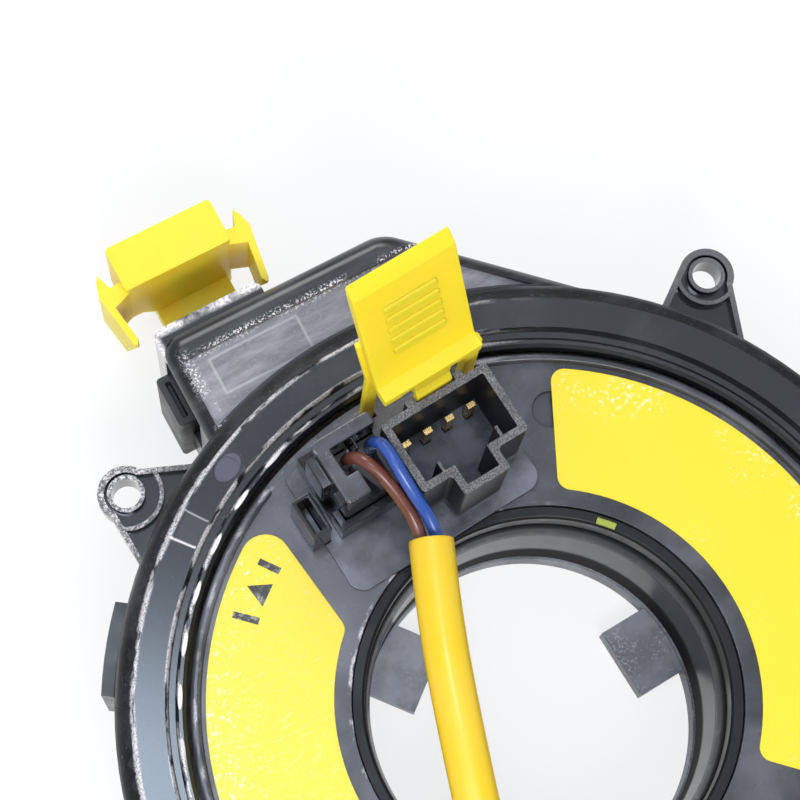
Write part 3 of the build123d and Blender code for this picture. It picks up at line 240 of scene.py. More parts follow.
def offset(value, middle, half):
    """How many halves a value lies from a middle."""
    return maths("DIVIDE", maths("SUBTRACT", value, middle), half)


def folded(operation, first, *others):
    for other in others:
        first = maths(operation, first, other)
    return first


times, most, total = (partial(folded, operation) for operation in ("MULTIPLY", "MAXIMUM", "ADD"))


def within(value, low, high, soft):
    """One between two limits, falling to nothing outside them."""
    return times(spread(value, low - soft, low + soft),
                 spread(value, high + soft, high - soft))


def band(value, middle, half):
    """One in the middle of a band, falling to nothing at its edges."""
    away = maths("ABSOLUTE", maths("SUBTRACT", value, middle))
    return spread(away, half, 0.0)


def surfaced(finish, colour, roughness=None, grain=None, **sockets):
    """Give a finish its colour, roughness and grain, which is a height, its strength and depth in mm."""
    if roughness is not None:
        sockets["Roughness"] = roughness
    if grain:
        bump = put("Bump", Height=grain[0], Strength=grain[1], Distance=grain[2] * MM)
        sockets["Normal"] = bump.outputs["Normal"]
    for name, value in (("Base_Color", colour), *sockets.items()):
        fill(finish.node_tree.nodes["Principled BSDF"].inputs[name.replace("_", " ")], value)
    return finish


# Finishes
def highlight_speckle(where, zone, grain, patch=110, low=0.44, high=0.6):
    """Pale grains inside a zone, in patches: partly rubbed grain, partly painted highlight."""
    grains = cloud(where, grain, 2, 0.5, 0.62, rough=0.7)
    patches = cloud(where, patch, 2, low, high)
    return times(zone, grains, patches)


def frost_highlights(where, zone, low, high):
    """Pale dashes that run round the axis inside a zone: partly frosted texture, partly painted highlight."""
    along = put("CombineXYZ", X=times(bearing(where), 0.16), Y=times(radius(where), 0.9)).outputs[0]
    dashes = cloud(along, 1.0, 3.0, low, high, rough=0.6)
    grains = cloud(where, 5200, 2, 0.36, 0.56, 0.25, 1.0, rough=0.75)
    return times(zone, dashes, grains)


def cover_black(case):
    """Polished annulus and dull shoulder, with pale frosted edges that are partly painted highlight, and a
    painted row of glints on the bead.
    """
    finish, where = plain_finish("cover_black", case.black, case.gloss, coat=(0.3, 0.1),
                                 Specular_IOR_Level=0.45)
    from_axis, around = radius(where), bearing(where)
    shoulder = spread(from_axis, 47.2, 47.9)
    # Painted edge highlights and dust are kept to this side of the ring.
    highlight_and_dust_side = within(around, 72, 262, 12)
    outer = frost_highlights(where, band(from_axis, 47.1, 0.5), 0.42, 0.52)
    inner = frost_highlights(where, band(from_axis, 43.4, 0.34), 0.42, 0.52)
    crest = frost_highlights(where, band(from_axis, 42.0, 0.42), 0.46, 0.56)
    # Painted highlight: a row of oval glints spaced along the bead.
    off_beat = offset(maths("FRACT", offset(around, 106.8, 8.2)), 0.5, 0.27)
    off_line = offset(from_axis, 41.85, 0.32)
    away = total(times(off_beat, off_beat), times(off_line, off_line))
    lens = times(spread(away, 1.0, 0.45), within(around, 108, 160, 8))
    # worn holds the pale edge grains, partly painted highlight, and the painted bead glints.
    worn = most(times(most(outer, inner, crest), highlight_and_dust_side), lens)
    flat_part = within(from_axis, 43.75, 46.95, 0.05)
    tile = times(flat_part, within(around, 124.8, 129.0, 0.12))
    # Painted highlight along the two step edges of the pocket.
    painted_step_highlight = times(flat_part, most(times(band(around, 124.7, 0.22), 0.45), band(around, 129.1, 0.34)))
    along, across = offset(around, 116.3, 2.35), offset(from_axis, 45.25, 1.25)
    mark = spread(total(times(along, along), times(across, across)), 1.06, 0.94)
    dust = times(cloud(where, 3400, 1, 0.72, 0.8), 0.1, highlight_and_dust_side)
    smudge = cloud(where, 75, 5, 0.5, 0.8, 0.0, 0.05, rough=0.6, twist=0.4)
    base = coats(case.black, (shoulder, case.shoulder), (most(smudge, dust), case.scuff),
                 (times(tile, 0.1), case.panel), (mark, case.mark), (most(worn, painted_step_highlight), case.frost))
    rough = total(spread(shoulder, 0, 1, case.gloss, 0.36), times(worn, 0.3), times(mark, 0.4),
                  spread(within(around, 100, 270, 25), 0, 1, 0.16, 0.0))
    return surfaced(finish, base, rough, grain=(noise(where, 5200, 2), 0.06, 0.02))


def shoulder_black(case):
    """Duller black of the cover's rounded outer edge, with fine rubbed specks."""
    finish, where = plain_finish("shoulder_black", case.shoulder, 0.42, Specular_IOR_Level=0.22)
    specks = cloud(where, 3000, 2, 0.62, 0.74, 0.0, 0.12)
    smudge = cloud(where, 110, 4, 0.45, 0.8, 0.0, 0.07, rough=0.6)
    return surfaced(finish, mixed(most(specks, smudge), case.shoulder, case.scuff),
                    uneven(where, 240, 0.36, 0.5), grain=(noise(where, 4200, 2), 0.08, 0.02))


def bay_black(case):
    """Satin black of the harness bay: dark rounded bars, and pale frosted grains beside the panel and on the
    far edge that are partly painted highlight.
    """
    finish, where = plain_finish("bay_black", case.shoulder, 0.3, coat=(0.25, 0.12))
    x, y, z = parts(where)
    haze = cloud(stretched(where, (1, 7, 1)), 90, 4, 0.4, 0.75, 0.0, 0.06)
    on_top = spread(z, 22.4, 22.9)
    beside_panel = times(on_top, within(x, -18.8, -17.6, 0.5), spread(y, 57, 54))
    far_edge = times(band(y, 55.2, 0.7), spread(x, -19, -12))
    # Pale grains beside the panel and along the far edge: partly frosted texture, partly painted highlight.
    worn = highlight_speckle(where, most(beside_panel, far_edge), 3600, 260, 0.36, 0.5)
    base = coats(case.shoulder, (haze, case.scuff), (worn, case.frost))
    return surfaced(finish, base, grain=(noise(where, 3800, 3), 0.12, 0.03))


def collar_gloss(case):
    """Wet looking black of the header's collar, with pale frosted grains along its outer edges that are
    partly painted highlight.
    """
    finish, where = plain_finish("collar_gloss", case.black, 0.16, coat=(0.6, 0.05))
    x, y, z = parts(where)
    outer = most(spread(x, -19.2, -20.0), spread(y, 58.9, 59.6))
    rolled = times(outer, spread(z, 19.0, 20.2))
    patches = cloud(where, 150, 3, 0.38, 0.52, rough=0.6)
    grains = cloud(where, 2600, 2, 0.36, 0.56, 0.45, 0.95, rough=0.6)
    # Pale grains on the rolled outer edges: partly frosted texture, partly painted highlight.
    worn = times(rolled, patches, grains)
    return surfaced(finish, mixed(worn, case.black, case.frost), spread(worn, 0, 1, 0.16, 0.45),
                    grain=(noise(where, 2600, 3), 0.1, 0.03))


def ear_black(case):
    """Glossy black of the ears, with pinkish frosted rims that are partly painted highlight, strongest on one
    side.
    """
    finish, where = plain_finish("ear_black", case.black, 0.16, coat=(0.4, 0.08))
    around = bearing(where)
    rims = spread(height(where), 16.55, 16.9)
    grains = cloud(where, 3200, 3, 0.44, 0.64, rough=0.8)
    patches = cloud(where, 170, 3, 0.36, 0.56, 0.25, 0.85)
    # Painted highlight on the rims, partly frosted texture: a faint pale band all round, and grains strongest
    # at bearings 60 to 110 degrees.
    worn = times(rims, grains, patches, spread(around, 60, 110, 0.1, 1.0))
    base = coats(case.black, (times(rims, 0.09), case.frost), (worn, case.frost))
    return surfaced(finish, base, spread(rims, 0, 1, 0.14, 0.38), grain=(noise(where, 2600, 3), 0.12, 0.03))


def panel_grey(case):
    """Violet grey floor of the bay's recess, with a smoother tile, smears, and frosted borders that are
    partly painted highlight.
    """
    finish, where = plain_finish("panel_grey", case.panel, 0.34)
    x, y, _ = parts(where)
    tile = times(within(x, -15.8, -3.9, 0.12), within(y, 49.2, 54.1, 0.12))
    inside = times(within(x, -15.5, -4.2, 0.12), within(y, 49.5, 53.8, 0.12))
    line = maths("SUBTRACT", tile, inside, True)
    smear = cloud(stretched(where, (1, 4, 1), 0.35), 190, 6, 0.3, 0.78, 0.0, 0.34, rough=0.7)
    fine = cloud(where, 2600, 2, 0.45, 0.7, 0.0, 0.16)
    shade = cloud(where, 120, 3, 0.35, 0.7, 0.0, 0.5)
    border = most(spread(y, 54.3, 54.9), spread(x, -16.9, -17.8))
    # Pale grains along the border: partly frosted texture, partly painted highlight.
    worn = highlight_speckle(where, border, 3200, 240, 0.38, 0.52)
    base = coats(case.panel, (shade, case.panel_dark), (times(inside, 0.45), case.panel_dark),
                 (most(smear, fine), case.scuff), (times(line, 0.3), case.scuff), (worn, case.frost))
    return surfaced(finish, base, uneven(where, 300, 0.28, 0.46), grain=(noise(where, 4200, 2), 0.1, 0.02))


def moulded(name, base, roughness, grain=3200, strength=0.12, lift=0.05, **sockets):
    """A moulded plastic with fine grain and slow changes of gloss and tone."""
    finish, where = plain_finish(name, base, roughness, **sockets)
    tone = cloud(where, 120, 4, 0.3, 0.75, 0.0, lift, rough=0.6)
    pale = tuple(min(1.0, 0.35 + 0.65 * part) for part in base)
    return surfaced(finish, mixed(tone, base, pale),
                    uneven(where, 260, max(0.02, roughness - 0.07), min(1.0, roughness + 0.09)),
                    grain=(noise(where, grain, 3), strength, 0.02))


def yellow_plastic(name, base):
    """Moulded yellow that light soaks into a little."""
    return moulded(name, base, 0.42, grain=2200, strength=0.05, lift=0.03, Specular_IOR_Level=0.35,
                   Subsurface_Weight=0.35, Subsurface_Scale=0.004, Subsurface_Radius=(1.0, 0.55, 0.08))


def disc_black(rotor):
    """Semi gloss rotor disc: violet grey haze and dust, a painted sheen near the connector group, and pale
    frosted grains near the rim and the hub that are partly painted highlight.
    """
    finish, where = plain_finish("disc_black", rotor.disc, 0.27, coat=(0.15, 0.2))
    from_axis, around = radius(where), bearing(where)
    edges = most(times(band(from_axis, 40.1, 0.5), 0.6), band(from_axis, 22.7, 0.4))
    # Pale grains by the rim and the hub, on one side only: partly frosted texture, partly painted highlight.
    worn = times(frost_highlights(where, edges, 0.5, 0.62), within(around, 66, 270, 10))
    near_group = within(around, 78, 150, 16)
    haze = cloud(where, 95, 5, 0.34, 0.78, 0.0, 0.2, rough=0.62, twist=0.3)
    # Painted sheen: violet grey clouds near the connector group.
    bloom = times(near_group, cloud(where, 60, 3, 0.3, 0.62, 0.05, 0.26))
    specks = times(cloud(where, 3000, 1, 0.7, 0.78), 0.16, near_group)
    base = coats(rotor.disc, (most(haze, bloom), rotor.bloom), (most(worn, specks), rotor.frost))
    return surfaced(finish, base, uneven(where, 210, 0.22, 0.4), grain=(noise(where, 4800, 2), 0.07, 0.02))


def plate_gloss(connector):
    """Shiny base plate with a painted blue grey sheen on its top."""
    finish, where = plain_finish("plate_black", connector.gloss, 0.22, coat=(0.4, 0.1))
    top = spread(height(where), 24.45, 24.65)
    # Painted sheen: slow blue grey clouds on the top face.
    bloom = times(top, cloud(where, 130, 4, 0.32, 0.66, 0.08, 0.38, rough=0.6))
    return surfaced(finish, mixed(bloom, connector.gloss, connector.bloom), uneven(where, 240, 0.16, 0.36),
                    grain=(noise(where, 2800, 2), 0.08, 0.02))


def plug_gloss(connector):
    """Polished plug: dark sides, a painted grey blue sheen on top, and pale top edges that are partly wear
    and partly painted highlight.
    """
    finish, where = plain_finish("plug_gloss", connector.gloss, 0.14, coat=(0.6, 0.05))
    top = spread(height(where), 37.6, 37.95)
    # Painted sheen on the top face.
    sheen = times(top, cloud(where, 90, 3, 0.3, 0.7, 0.0, 0.22, rough=0.6))
    # Pale grains along the top edge: partly wear, partly painted highlight.
    worn_edge_highlight = highlight_speckle(where, band(height(where), 37.85, 0.22), 3000, 300, 0.46, 0.6)
    base = coats(connector.gloss, (sheen, connector.bloom), (times(worn_edge_highlight, 0.7), (0.7, 0.7, 0.74)))
    return surfaced(finish, base, uneven(where, 300, 0.09, 0.24), grain=(noise(where, 1500, 2), 0.06, 0.03))


def socket_walls(connector):
    """Dark satin walls of the socket, with a painted blue grey sheen on its floor."""
    finish, where = plain_finish("socket_walls", connector.gloss, 0.38, Specular_IOR_Level=0.22)
    low = spread(height(where), 27.2, 26.3)
    # Painted sheen: blue grey clouds on the socket's floor.
    bloom = times(low, cloud(where, 210, 4, 0.3, 0.66, 0.1, 0.5))
    fine = cloud(where, 2400, 2, 0.5, 0.75, 0.0, 0.06)
    return surfaced(finish, mixed(most(bloom, fine), connector.gloss, connector.bloom),
                    grain=(noise(where, 3600, 3), 0.2, 0.03))


def socket_grain(connector):
    """Coarse sparked grain of the socket's rim, with pale specks."""
    finish, where = plain_finish("socket_grain", connector.grain, 0.5)
    specks = cloud(where, 5600, 2, 0.4, 0.62, 0.05, 0.62, rough=0.85)
    slow = cloud(where, 260, 2, 0.3, 0.7, 0.55, 1.0)
    return surfaced(finish, mixed(times(specks, slow), connector.grain, (0.42, 0.42, 0.44)),
                    grain=(noise(where, 5600, 3), 0.3, 0.04))


def bore_grey(rotor):
    """Hub tube: a grey upper band that falls to black near its lower end, and black at its top; the black is
    painted shade.
    """
    finish, where = plain_finish("bore_grey", rotor.bore, 0.25, Specular_IOR_Level=0.1)
    level = height(where)
    # Painted shade: black and dull below about 10 mm and above about 19 mm.
    black = most(spread(level, 10.5, 8.0), spread(level, 18.5, 20.5))
    mottle = cloud(where, 150, 4, 0.35, 0.75, 0.0, 0.1, rough=0.6)
    base = coats(rotor.bore, (mottle, (0.3, 0.31, 0.34)), (black, rotor.bezel))
    return surfaced(finish, base, spread(black, 0, 1, 0.22, 0.7), grain=(noise(where, 2600, 3), 0.05, 0.02))


def label_film(yellow):
    """Printed yellow film: a worn pale patch, specks and fine diagonal creases."""
    finish, where = plain_finish("label_film", yellow.label, 0.36, coat=(0.2, 0.25))
    from_axis, around = radius(where), bearing(where)
    outer = spread(from_axis, 31, 39, 0.15, 1.0)
    corner = within(around, 142, 190, 22)
    specks = cloud(where, 1500, 4, 0.53, 0.66, rough=0.75)
    patches = cloud(where, 85, 4, 0.47, 0.64, rough=0.6)
    creases = cloud(stretched(where, (1, 7, 1), 0.9), 420, 4, 0.56, 0.72, 0.0, 0.55, rough=0.7)
    rubbed = most(times(specks, patches, outer), times(creases, corner, 0.75),
                  times(specks, corner, outer, 0.8))
    base = coats(yellow.label, (uneven(where, 55, 0.0, 0.16), (0.9, 0.6, 0.006)), (rubbed, yellow.rubbed))
    return surfaced(finish, base, spread(rubbed, 0, 1, 0.34, 0.62),
                    grain=(total(rubbed, noise(where, 700, 3)), 0.12, 0.03))


def print_black(yellow):
    """Printed alignment marks, worn to pale specks."""
    finish, where = plain_finish("print_black", yellow.print_black, 0.4, coat=(0.2, 0.25))
    specks = cloud(where, 1700, 3, 0.47, 0.62, rough=0.8)
    patches = cloud(where, 420, 3, 0.4, 0.6)
    return surfaced(finish, mixed(times(specks, patches, 0.35), yellow.print_black, yellow.rubbed))


def speckled_grey(rotor):
    """Blue grey lugs with pale grains, a slow mottle, and a pale cloud on the lug at negative x that is
    partly frosted texture and partly painted highlight.
    """
    finish, where = plain_finish("speckled_grey", rotor.cancel, 0.46)
    grains = cloud(where, 2400, 3, 0.5, 0.66, 0.0, 0.42, rough=0.8)
    mottle = cloud(where, 240, 4, 0.35, 0.68)
    dark = cloud(where, 130, 3, 0.42, 0.62, 0.0, 0.55)
    # Painted highlight: only the lug on the negative x side is made paler.
    pale = times(spread(parts(where)["X"], 0.0, -8), cloud(where, 170, 3, 0.34, 0.6, 0.25, 0.75))
    base = coats(rotor.cancel, (dark, (0.045, 0.048, 0.056)), (pale, (0.52, 0.55, 0.62)),
                 (times(grains, mottle), (0.72, 0.75, 0.8)))
    return surfaced(finish, base, grain=(noise(where, 2400, 3), 0.3, 0.05))


def plated(name, base):
    """Thin metal plating with faint drawing lines."""
    finish, where = plain_finish(name, base, 0.22, Metallic=1.0)
    rough = uneven(stretched(where, (9, 9, 1)), 500, 0.16, 0.34)
    return surfaced(finish, (*base, 1), rough, grain=(noise(where, 900, 2), 0.06, 0.01))


# Modelling steps
def placed(name, data):
    """A new object with its data, linked to the scene."""
    piece = bpy.data.objects.new(name, data)
    bpy.context.scene.collection.objects.link(piece)
    return piece


def nothing_selected():
    if bpy.context.mode != "OBJECT":
        bpy.ops.object.mode_set(mode="OBJECT")
    bpy.ops.object.select_all(action="DESELECT")


def only(piece):
    """This piece alone is selected and active."""
    nothing_selected()
    piece.select_set(True)
    bpy.context.view_layer.objects.active = piece


def finished(piece, *steps):
    """Add each modifier with its settings and apply it."""
    only(piece)
    for kind, settings in steps:
        modifier = piece.modifiers.new(kind.title(), kind)
        for name, value in settings.items():
            setattr(modifier, name, value)
        bpy.ops.object.modifier_apply(modifier=modifier.name)
    return piece


def rounding(width, segments=2, angle=35):
    """Settings of a bevel, its width in mm, on the edges that turn by more than an angle."""
    return ("BEVEL", {"width": width * MM, "segments": segments, "limit_method": "ANGLE",
                      "angle_limit": math.radians(angle), "miter_outer": "MITER_ARC",
                      "use_clamp_overlap": True})


def smooth(piece, angle=32):
    only(piece)
    bpy.ops.object.shade_smooth_by_angle(angle=math.radians(angle))
    return finished(piece, ("WEIGHTED_NORMAL", {"keep_sharp": True, "weight": 60}))


def turned_to_rest(piece):
    """Turn a piece from the rotor's own axes to where the rotor stands."""
    only(piece)
    piece.matrix_world = Matrix.Rotation(REST_TURN, 4, "Z") @ piece.matrix_world
    bpy.ops.object.transform_apply()
    return piece


def coated(piece, *finishes):
    piece.data.materials.clear()
    for finish in finishes:
        piece.data.materials.append(finish)
    return piece


def welded_copy(node, name):
    """A merged copy of a CAD node, with its flat facets made whole."""
    piece = placed(name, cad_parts[node].data.copy())
    only(piece)
    bpy.ops.object.mode_set(mode="EDIT")
    bpy.ops.mesh.select_all(action="SELECT")
    bpy.ops.mesh.remove_doubles(threshold=2e-6)
    bpy.ops.mesh.dissolve_limited(angle_limit=math.radians(0.5))
    bpy.ops.object.mode_set(mode="OBJECT")
    return piece


def stands_for(piece, body, node):
    """A piece rides on a body and takes the place of a CAD node, which is hidden."""
    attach(piece, body)
    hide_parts(node)
    return piece


def dressed(node, name, body, finish, width, segments=2, angle=35):
    """A rounded, smoothed copy of a CAD node that stands for it."""
    piece = finished(welded_copy(node, name), rounding(width, segments, angle))
    smooth(piece)
    return stands_for(coated(piece, finish), body, node)


def faces_chosen(piece, finish, test):
    """Give another finish to the faces that pass a test on their middle, in mm, and their normal."""
    piece.data.materials.append(finish)
    for face in piece.data.polygons:
        if test(face.center / MM, face.normal):
            face.material_index = len(piece.data.materials) - 1


def painted(node, finish):
    """A CAD node whose shape is right gets its finish."""
    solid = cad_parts[node]
    solid.data.materials.clear()
    solid.data.materials.append(finish)
    return solid


# Operators
class Piece:
    """Shared by the operators: they can be undone, and read the scene's settings."""

    bl_options = {"REGISTER", "UNDO"}

    @staticmethod
    def settings():
        return bpy.context.scene.clock_spring


class CLOCKSPRING_OT_case(Piece, Operator):
    """Round upper case with its harness bay and three ears"""

    bl_idname = "clock_spring.case"
    bl_label = "Upper case"

    def execute(self, context):
        case = self.settings().case
        piece = dressed("upper_case", "case_cover", "stator", cover_black(case), case.edge / MM)

        def on_bay(spot, normal):
            on_top = normal.z > 0.9 and 17.5 < spot.z < 23.1 and spot.y > 40
            return on_top or (spot.y > 30 and spot.xy.length > OUTSIDE and -22 < spot.x < 25)

        def on_ear(spot, normal):
            return spot.z < 17.2 and spot.xy.length > OUTSIDE and not on_bay(spot, normal)

        def on_panel(spot, normal):
            return on_bay(spot, normal) and normal.z > 0.9 and 22.1 < spot.z < 22.4

        def on_collar(spot, normal):
            return spot.z < 21.6 and (spot.y > 58.5 or (spot.x < -20.0 and spot.y > 54))

        def on_shoulder(spot, normal):
            return spot.xy.length > 47.7 and normal.z < 0.97

        for finish, test in ((shoulder_black, on_shoulder), (bay_black, on_bay), (ear_black, on_ear),
                             (panel_grey, on_panel), (collar_gloss, on_collar)):
            faces_chosen(piece, finish(case), test)
        return {"FINISHED"}


class CLOCKSPRING_OT_lower_case(Piece, Operator):
    """Lower case with its snap tongues"""

    bl_idname = "clock_spring.lower_case"
    bl_label = "Lower case"

    def execute(self, context):
        case = self.settings().case
        finish = moulded("tongue_black", case.shoulder, 0.38, coat=(0.2, 0.2))
        dressed("lower_case", "case_back", "stator", finish, case.edge / MM)
        return {"FINISHED"}


BLOCK_GREY, SLIP_FILM = (0.32, 0.33, 0.34), (0.70, 0.69, 0.63)
RIBBON_FILM, RIBBON_COPPER, RIBBON_EDGE = (0.52, 0.25, 0.06), (0.62, 0.36, 0.16), (0.62, 0.36, 0.12)


class CLOCKSPRING_OT_inside(Piece, Operator):
    """Flat cable, its end blocks and the slip sheet inside the chamber"""

    bl_idname = "clock_spring.inside"
    bl_label = "Chamber"

    def execute(self, context):
        plastic = moulded("block_grey", BLOCK_GREY, 0.45)
        painted("stator_terminal_block", plastic)
        painted("rotor_terminal_block", plastic)
        painted("slip_sheet", moulded("slip_film", SLIP_FILM, 0.3, grain=900))
        ribbon, where = plain_finish("ribbon_film", RIBBON_FILM, 0.25)
        stripes = put("TexWave", {"bands_direction": "Z"}, Vector=where, Scale=170).outputs["Fac"]
        copper = mixed(spread(stripes, 0.45, 0.55), RIBBON_FILM, RIBBON_COPPER)
        covered = spread(band(height(where), 14.2, 5.6), 0.0, 0.08)
        surfaced(ribbon, mixed(covered, RIBBON_EDGE, copper))
        painted("flat_cable", ribbon)
        return {"FINISHED"}


class CLOCKSPRING_OT_airbag_header(Piece, Operator):
    """Yellow header on the bay with its two levers and pins"""

    bl_idname = "clock_spring.airbag_header"
    bl_label = "Airbag header"

    def execute(self, context):
        yellow = self.settings().yellow
        finish = yellow_plastic("header_yellow", yellow.header)
        dressed("airbag_header", "header_shell", "stator", finish, 0.3)
        painted("airbag_header_pins", plated("pin_gold", self.settings().connector.gold))
        return {"FINISHED"}


class CLOCKSPRING_OT_body_connector(Piece, Operator):
    """Black harness header under the bay"""

    bl_idname = "clock_spring.body_connector"
    bl_label = "Body connector"

    def execute(self, context):
        connector = self.settings().connector
        finish = moulded("harness_black", connector.grain, 0.42)
        dressed("body_connector", "harness_header", "stator", finish, 0.15)
        painted("body_connector_pins", plated("harness_gold", connector.gold))
        return {"FINISHED"}


class CLOCKSPRING_OT_rotor_disc(Piece, Operator):
    """Rotor disc with its raised rim and hub wall"""

    bl_idname = "clock_spring.rotor_disc"
    bl_label = "Rotor disc"

    def execute(self, context):
        rotor = self.settings().rotor
        dressed("rotor_disc", "turning_disc", "rotor", disc_black(rotor), 0.12)
        return {"FINISHED"}


class CLOCKSPRING_OT_hub(Piece, Operator):
    """Hub sleeve, bezel with its index mark, and cancel ring with its lugs"""

    bl_idname = "clock_spring.hub"
    bl_label = "Hub"

    def execute(self, context):
        rotor = self.settings().rotor
        dressed("hub_sleeve", "hub_tube", "rotor", bore_grey(rotor), 0.12)
        bezel = moulded("bezel_black", rotor.bezel, 0.34, grain=2600, strength=0.05, lift=0.02,
                        Specular_IOR_Level=0.25)
        dressed("hub_bezel", "bezel_ring", "rotor", bezel, 0.1)
        painted("index_mark", moulded("index_green", rotor.index, 0.5, lift=0.15))
        dressed("cancel_ring", "cancel_cam", "rotor", speckled_grey(rotor), 0.25)
        return {"FINISHED"}


class CLOCKSPRING_OT_connector_group(Piece, Operator):
    """Base plate, plug tray and latch keeper on the disc"""

    bl_idname = "clock_spring.connector_group"
    bl_label = "Connector group"

    def execute(self, context):
        connector = self.settings().connector
        dressed("connector_base", "group_plate", "rotor", plate_gloss(connector), 0.15)
        tray = moulded("tray_black", connector.gloss, 0.20, lift=0.01, coat=(0.3, 0.06),
                       Specular_IOR_Level=0.30)
        dressed("plug_tray", "tray", "rotor", tray, 0.12)
        dressed("latch_keeper", "keeper", "rotor", tray, 0.12)
        return {"FINISHED"}


class CLOCKSPRING_OT_switch_socket(Piece, Operator):
    """Keyed matte socket with its four contacts"""

    bl_idname = "clock_spring.switch_socket"
    bl_label = "Switch socket"

    def execute(self, context):
        connector = self.settings().connector
        walls = socket_walls(connector)
        piece = dressed("switch_socket", "socket", "rotor", walls, 0.12)
        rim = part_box("switch_socket")[1][2] / MM - 0.4
        faces_chosen(piece, socket_grain(connector), lambda spot, normal: spot.z > rim and normal.z > 0.3)
        painted("socket_pins", plated("contact_gold", connector.gold))
        return {"FINISHED"}


class CLOCKSPRING_OT_lead_plug(Piece, Operator):
    """Glossy two way plug that the wires leave"""

    bl_idname = "clock_spring.lead_plug"
    bl_label = "Lead plug"

    def execute(self, context):
        finish = plug_gloss(self.settings().connector)
        dressed("lead_plug", "plug", "rotor", finish, 0.22, 3)
        return {"FINISHED"}


# Corners of the left label's printed marks: distance from the axis in mm and bearing in degrees.
LABEL_MARKS = (
    ((34.0, 123.2), (36.7, 123.1), (36.7, 121.9), (34.0, 121.8)),
    ((36.8, 127.4), (34.1, 125.3), (34.3, 130.1)),
    ((34.2, 133.7), (37.3, 133.6), (37.3, 132.4), (34.2, 132.3)),
)


def drawn_out(name, points, push):
    """A solid made of a flat outline, in metres, pushed out along a vector."""
    nothing_selected()
    bpy.ops.mesh.primitive_circle_add(vertices=len(points), radius=MM, fill_type="NGON")
    body = bpy.context.object
    body.name = name
    for vertex, point in zip(body.data.vertices, points):
        vertex.co = point
    bpy.ops.object.mode_set(mode="EDIT")
    bpy.ops.mesh.select_all(action="SELECT")
    bpy.ops.mesh.extrude_region_move(TRANSFORM_OT_translate={"value": push})
    bpy.ops.mesh.select_all(action="SELECT")
    bpy.ops.mesh.normals_make_consistent(inside=False)
    bpy.ops.object.mode_set(mode="OBJECT")
    return body


def printed(name, corners, level, thick):
    """A thin printed mark with a little body, on the label."""
    points = [(out * MM * math.cos(math.radians(turn)), out * MM * math.sin(math.radians(turn)), level)
              for out, turn in corners]
    mark = drawn_out(name, points, (0, 0, thick))
    return turned_to_rest(finished(mark, rounding(0.02, 1, 60)))


class CLOCKSPRING_OT_labels(Piece, Operator):
    """Two worn yellow labels, the left one with its printed alignment marks"""

    bl_idname = "clock_spring.labels"
    bl_label = "Labels"

    def execute(self, context):
        film = label_film(self.settings().yellow)
        for side in ("left", "right"):
            dressed("label_" + side, side + "_film", "rotor", film, 0.04, 1)
        ink = print_black(self.settings().yellow)
        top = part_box("label_left")[1][2]
        for name, corners in zip(("upper_bar", "arrow", "lower_bar"), LABEL_MARKS):
            mark = coated(printed(name, corners, top - 0.02 * MM, 0.05 * MM), ink)
            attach(mark, "rotor")
        return {"FINISHED"}


# Side outlines of the lock tab as (y, z) in mm on the rotor's own axes, and its extents along x.
TAB_SIDE = ((35.5, 38.4), (35.5, 43.0), (37.2, 43.0), (43.2, 58.6), (44.9, 60.0), (44.6, 58.06),
            (38.6, 42.46), (37.3, 41.5), (37.3, 38.4))
STRAP_SIDE = ((38.5, 22.8), (39.25, 22.8), (39.25, 43.0), (41.75, 49.0), (41.0, 49.0), (38.5, 43.0))
LEG_SIDE = ((36.1, 22.8), (37.3, 22.8), (37.3, 42.0), (36.1, 42.0))
APRON_SIDE = ((34.85, 36.8), (35.75, 36.8), (35.75, 39.6), (35.5, 39.6), (34.85, 38.6))
TAB_X, STRAP_X, LEG_X, APRON_X = (-0.6, 12.1), (-1.1, 0.7), (10.8, 12.6), (3.45, 8.05)
TAB_NOTCHES = ((-1.6, 2.6, 41.0), (1.8, 3.4, 41.4), (8.1, 9.7, 41.4), (8.9, 13.1, 41.0))
RIB_SIZE = (6.7, 0.56, 1.15)
RIB_COUNT, RIB_PITCH, RIB_FIRST = 5, 1.9, 5.0


def prism(name, outline, start, end):
    """A side outline of (y, z) points in mm, drawn out along x."""
    points = [(start * MM, y * MM, z * MM) for y, z in outline]
    return drawn_out(name, points, ((end - start) * MM, 0, 0))


def block(place, size, rotation):
    """A box with its size in mm, turned and put at a place in metres."""
    nothing_selected()
    bpy.ops.mesh.primitive_cube_add(size=MM, location=place, rotation=rotation, scale=size)
    bpy.ops.object.transform_apply()
    return bpy.context.object


def joined_pieces(first, *others):
    only(first)
    for piece in others:
        piece.select_set(True)
    bpy.ops.object.join()
    return first


def cut_away(piece, cutter):
    finished(piece, ("BOOLEAN", {"operation": "DIFFERENCE", "object": cutter}))
    bpy.data.objects.remove(cutter)
    return piece


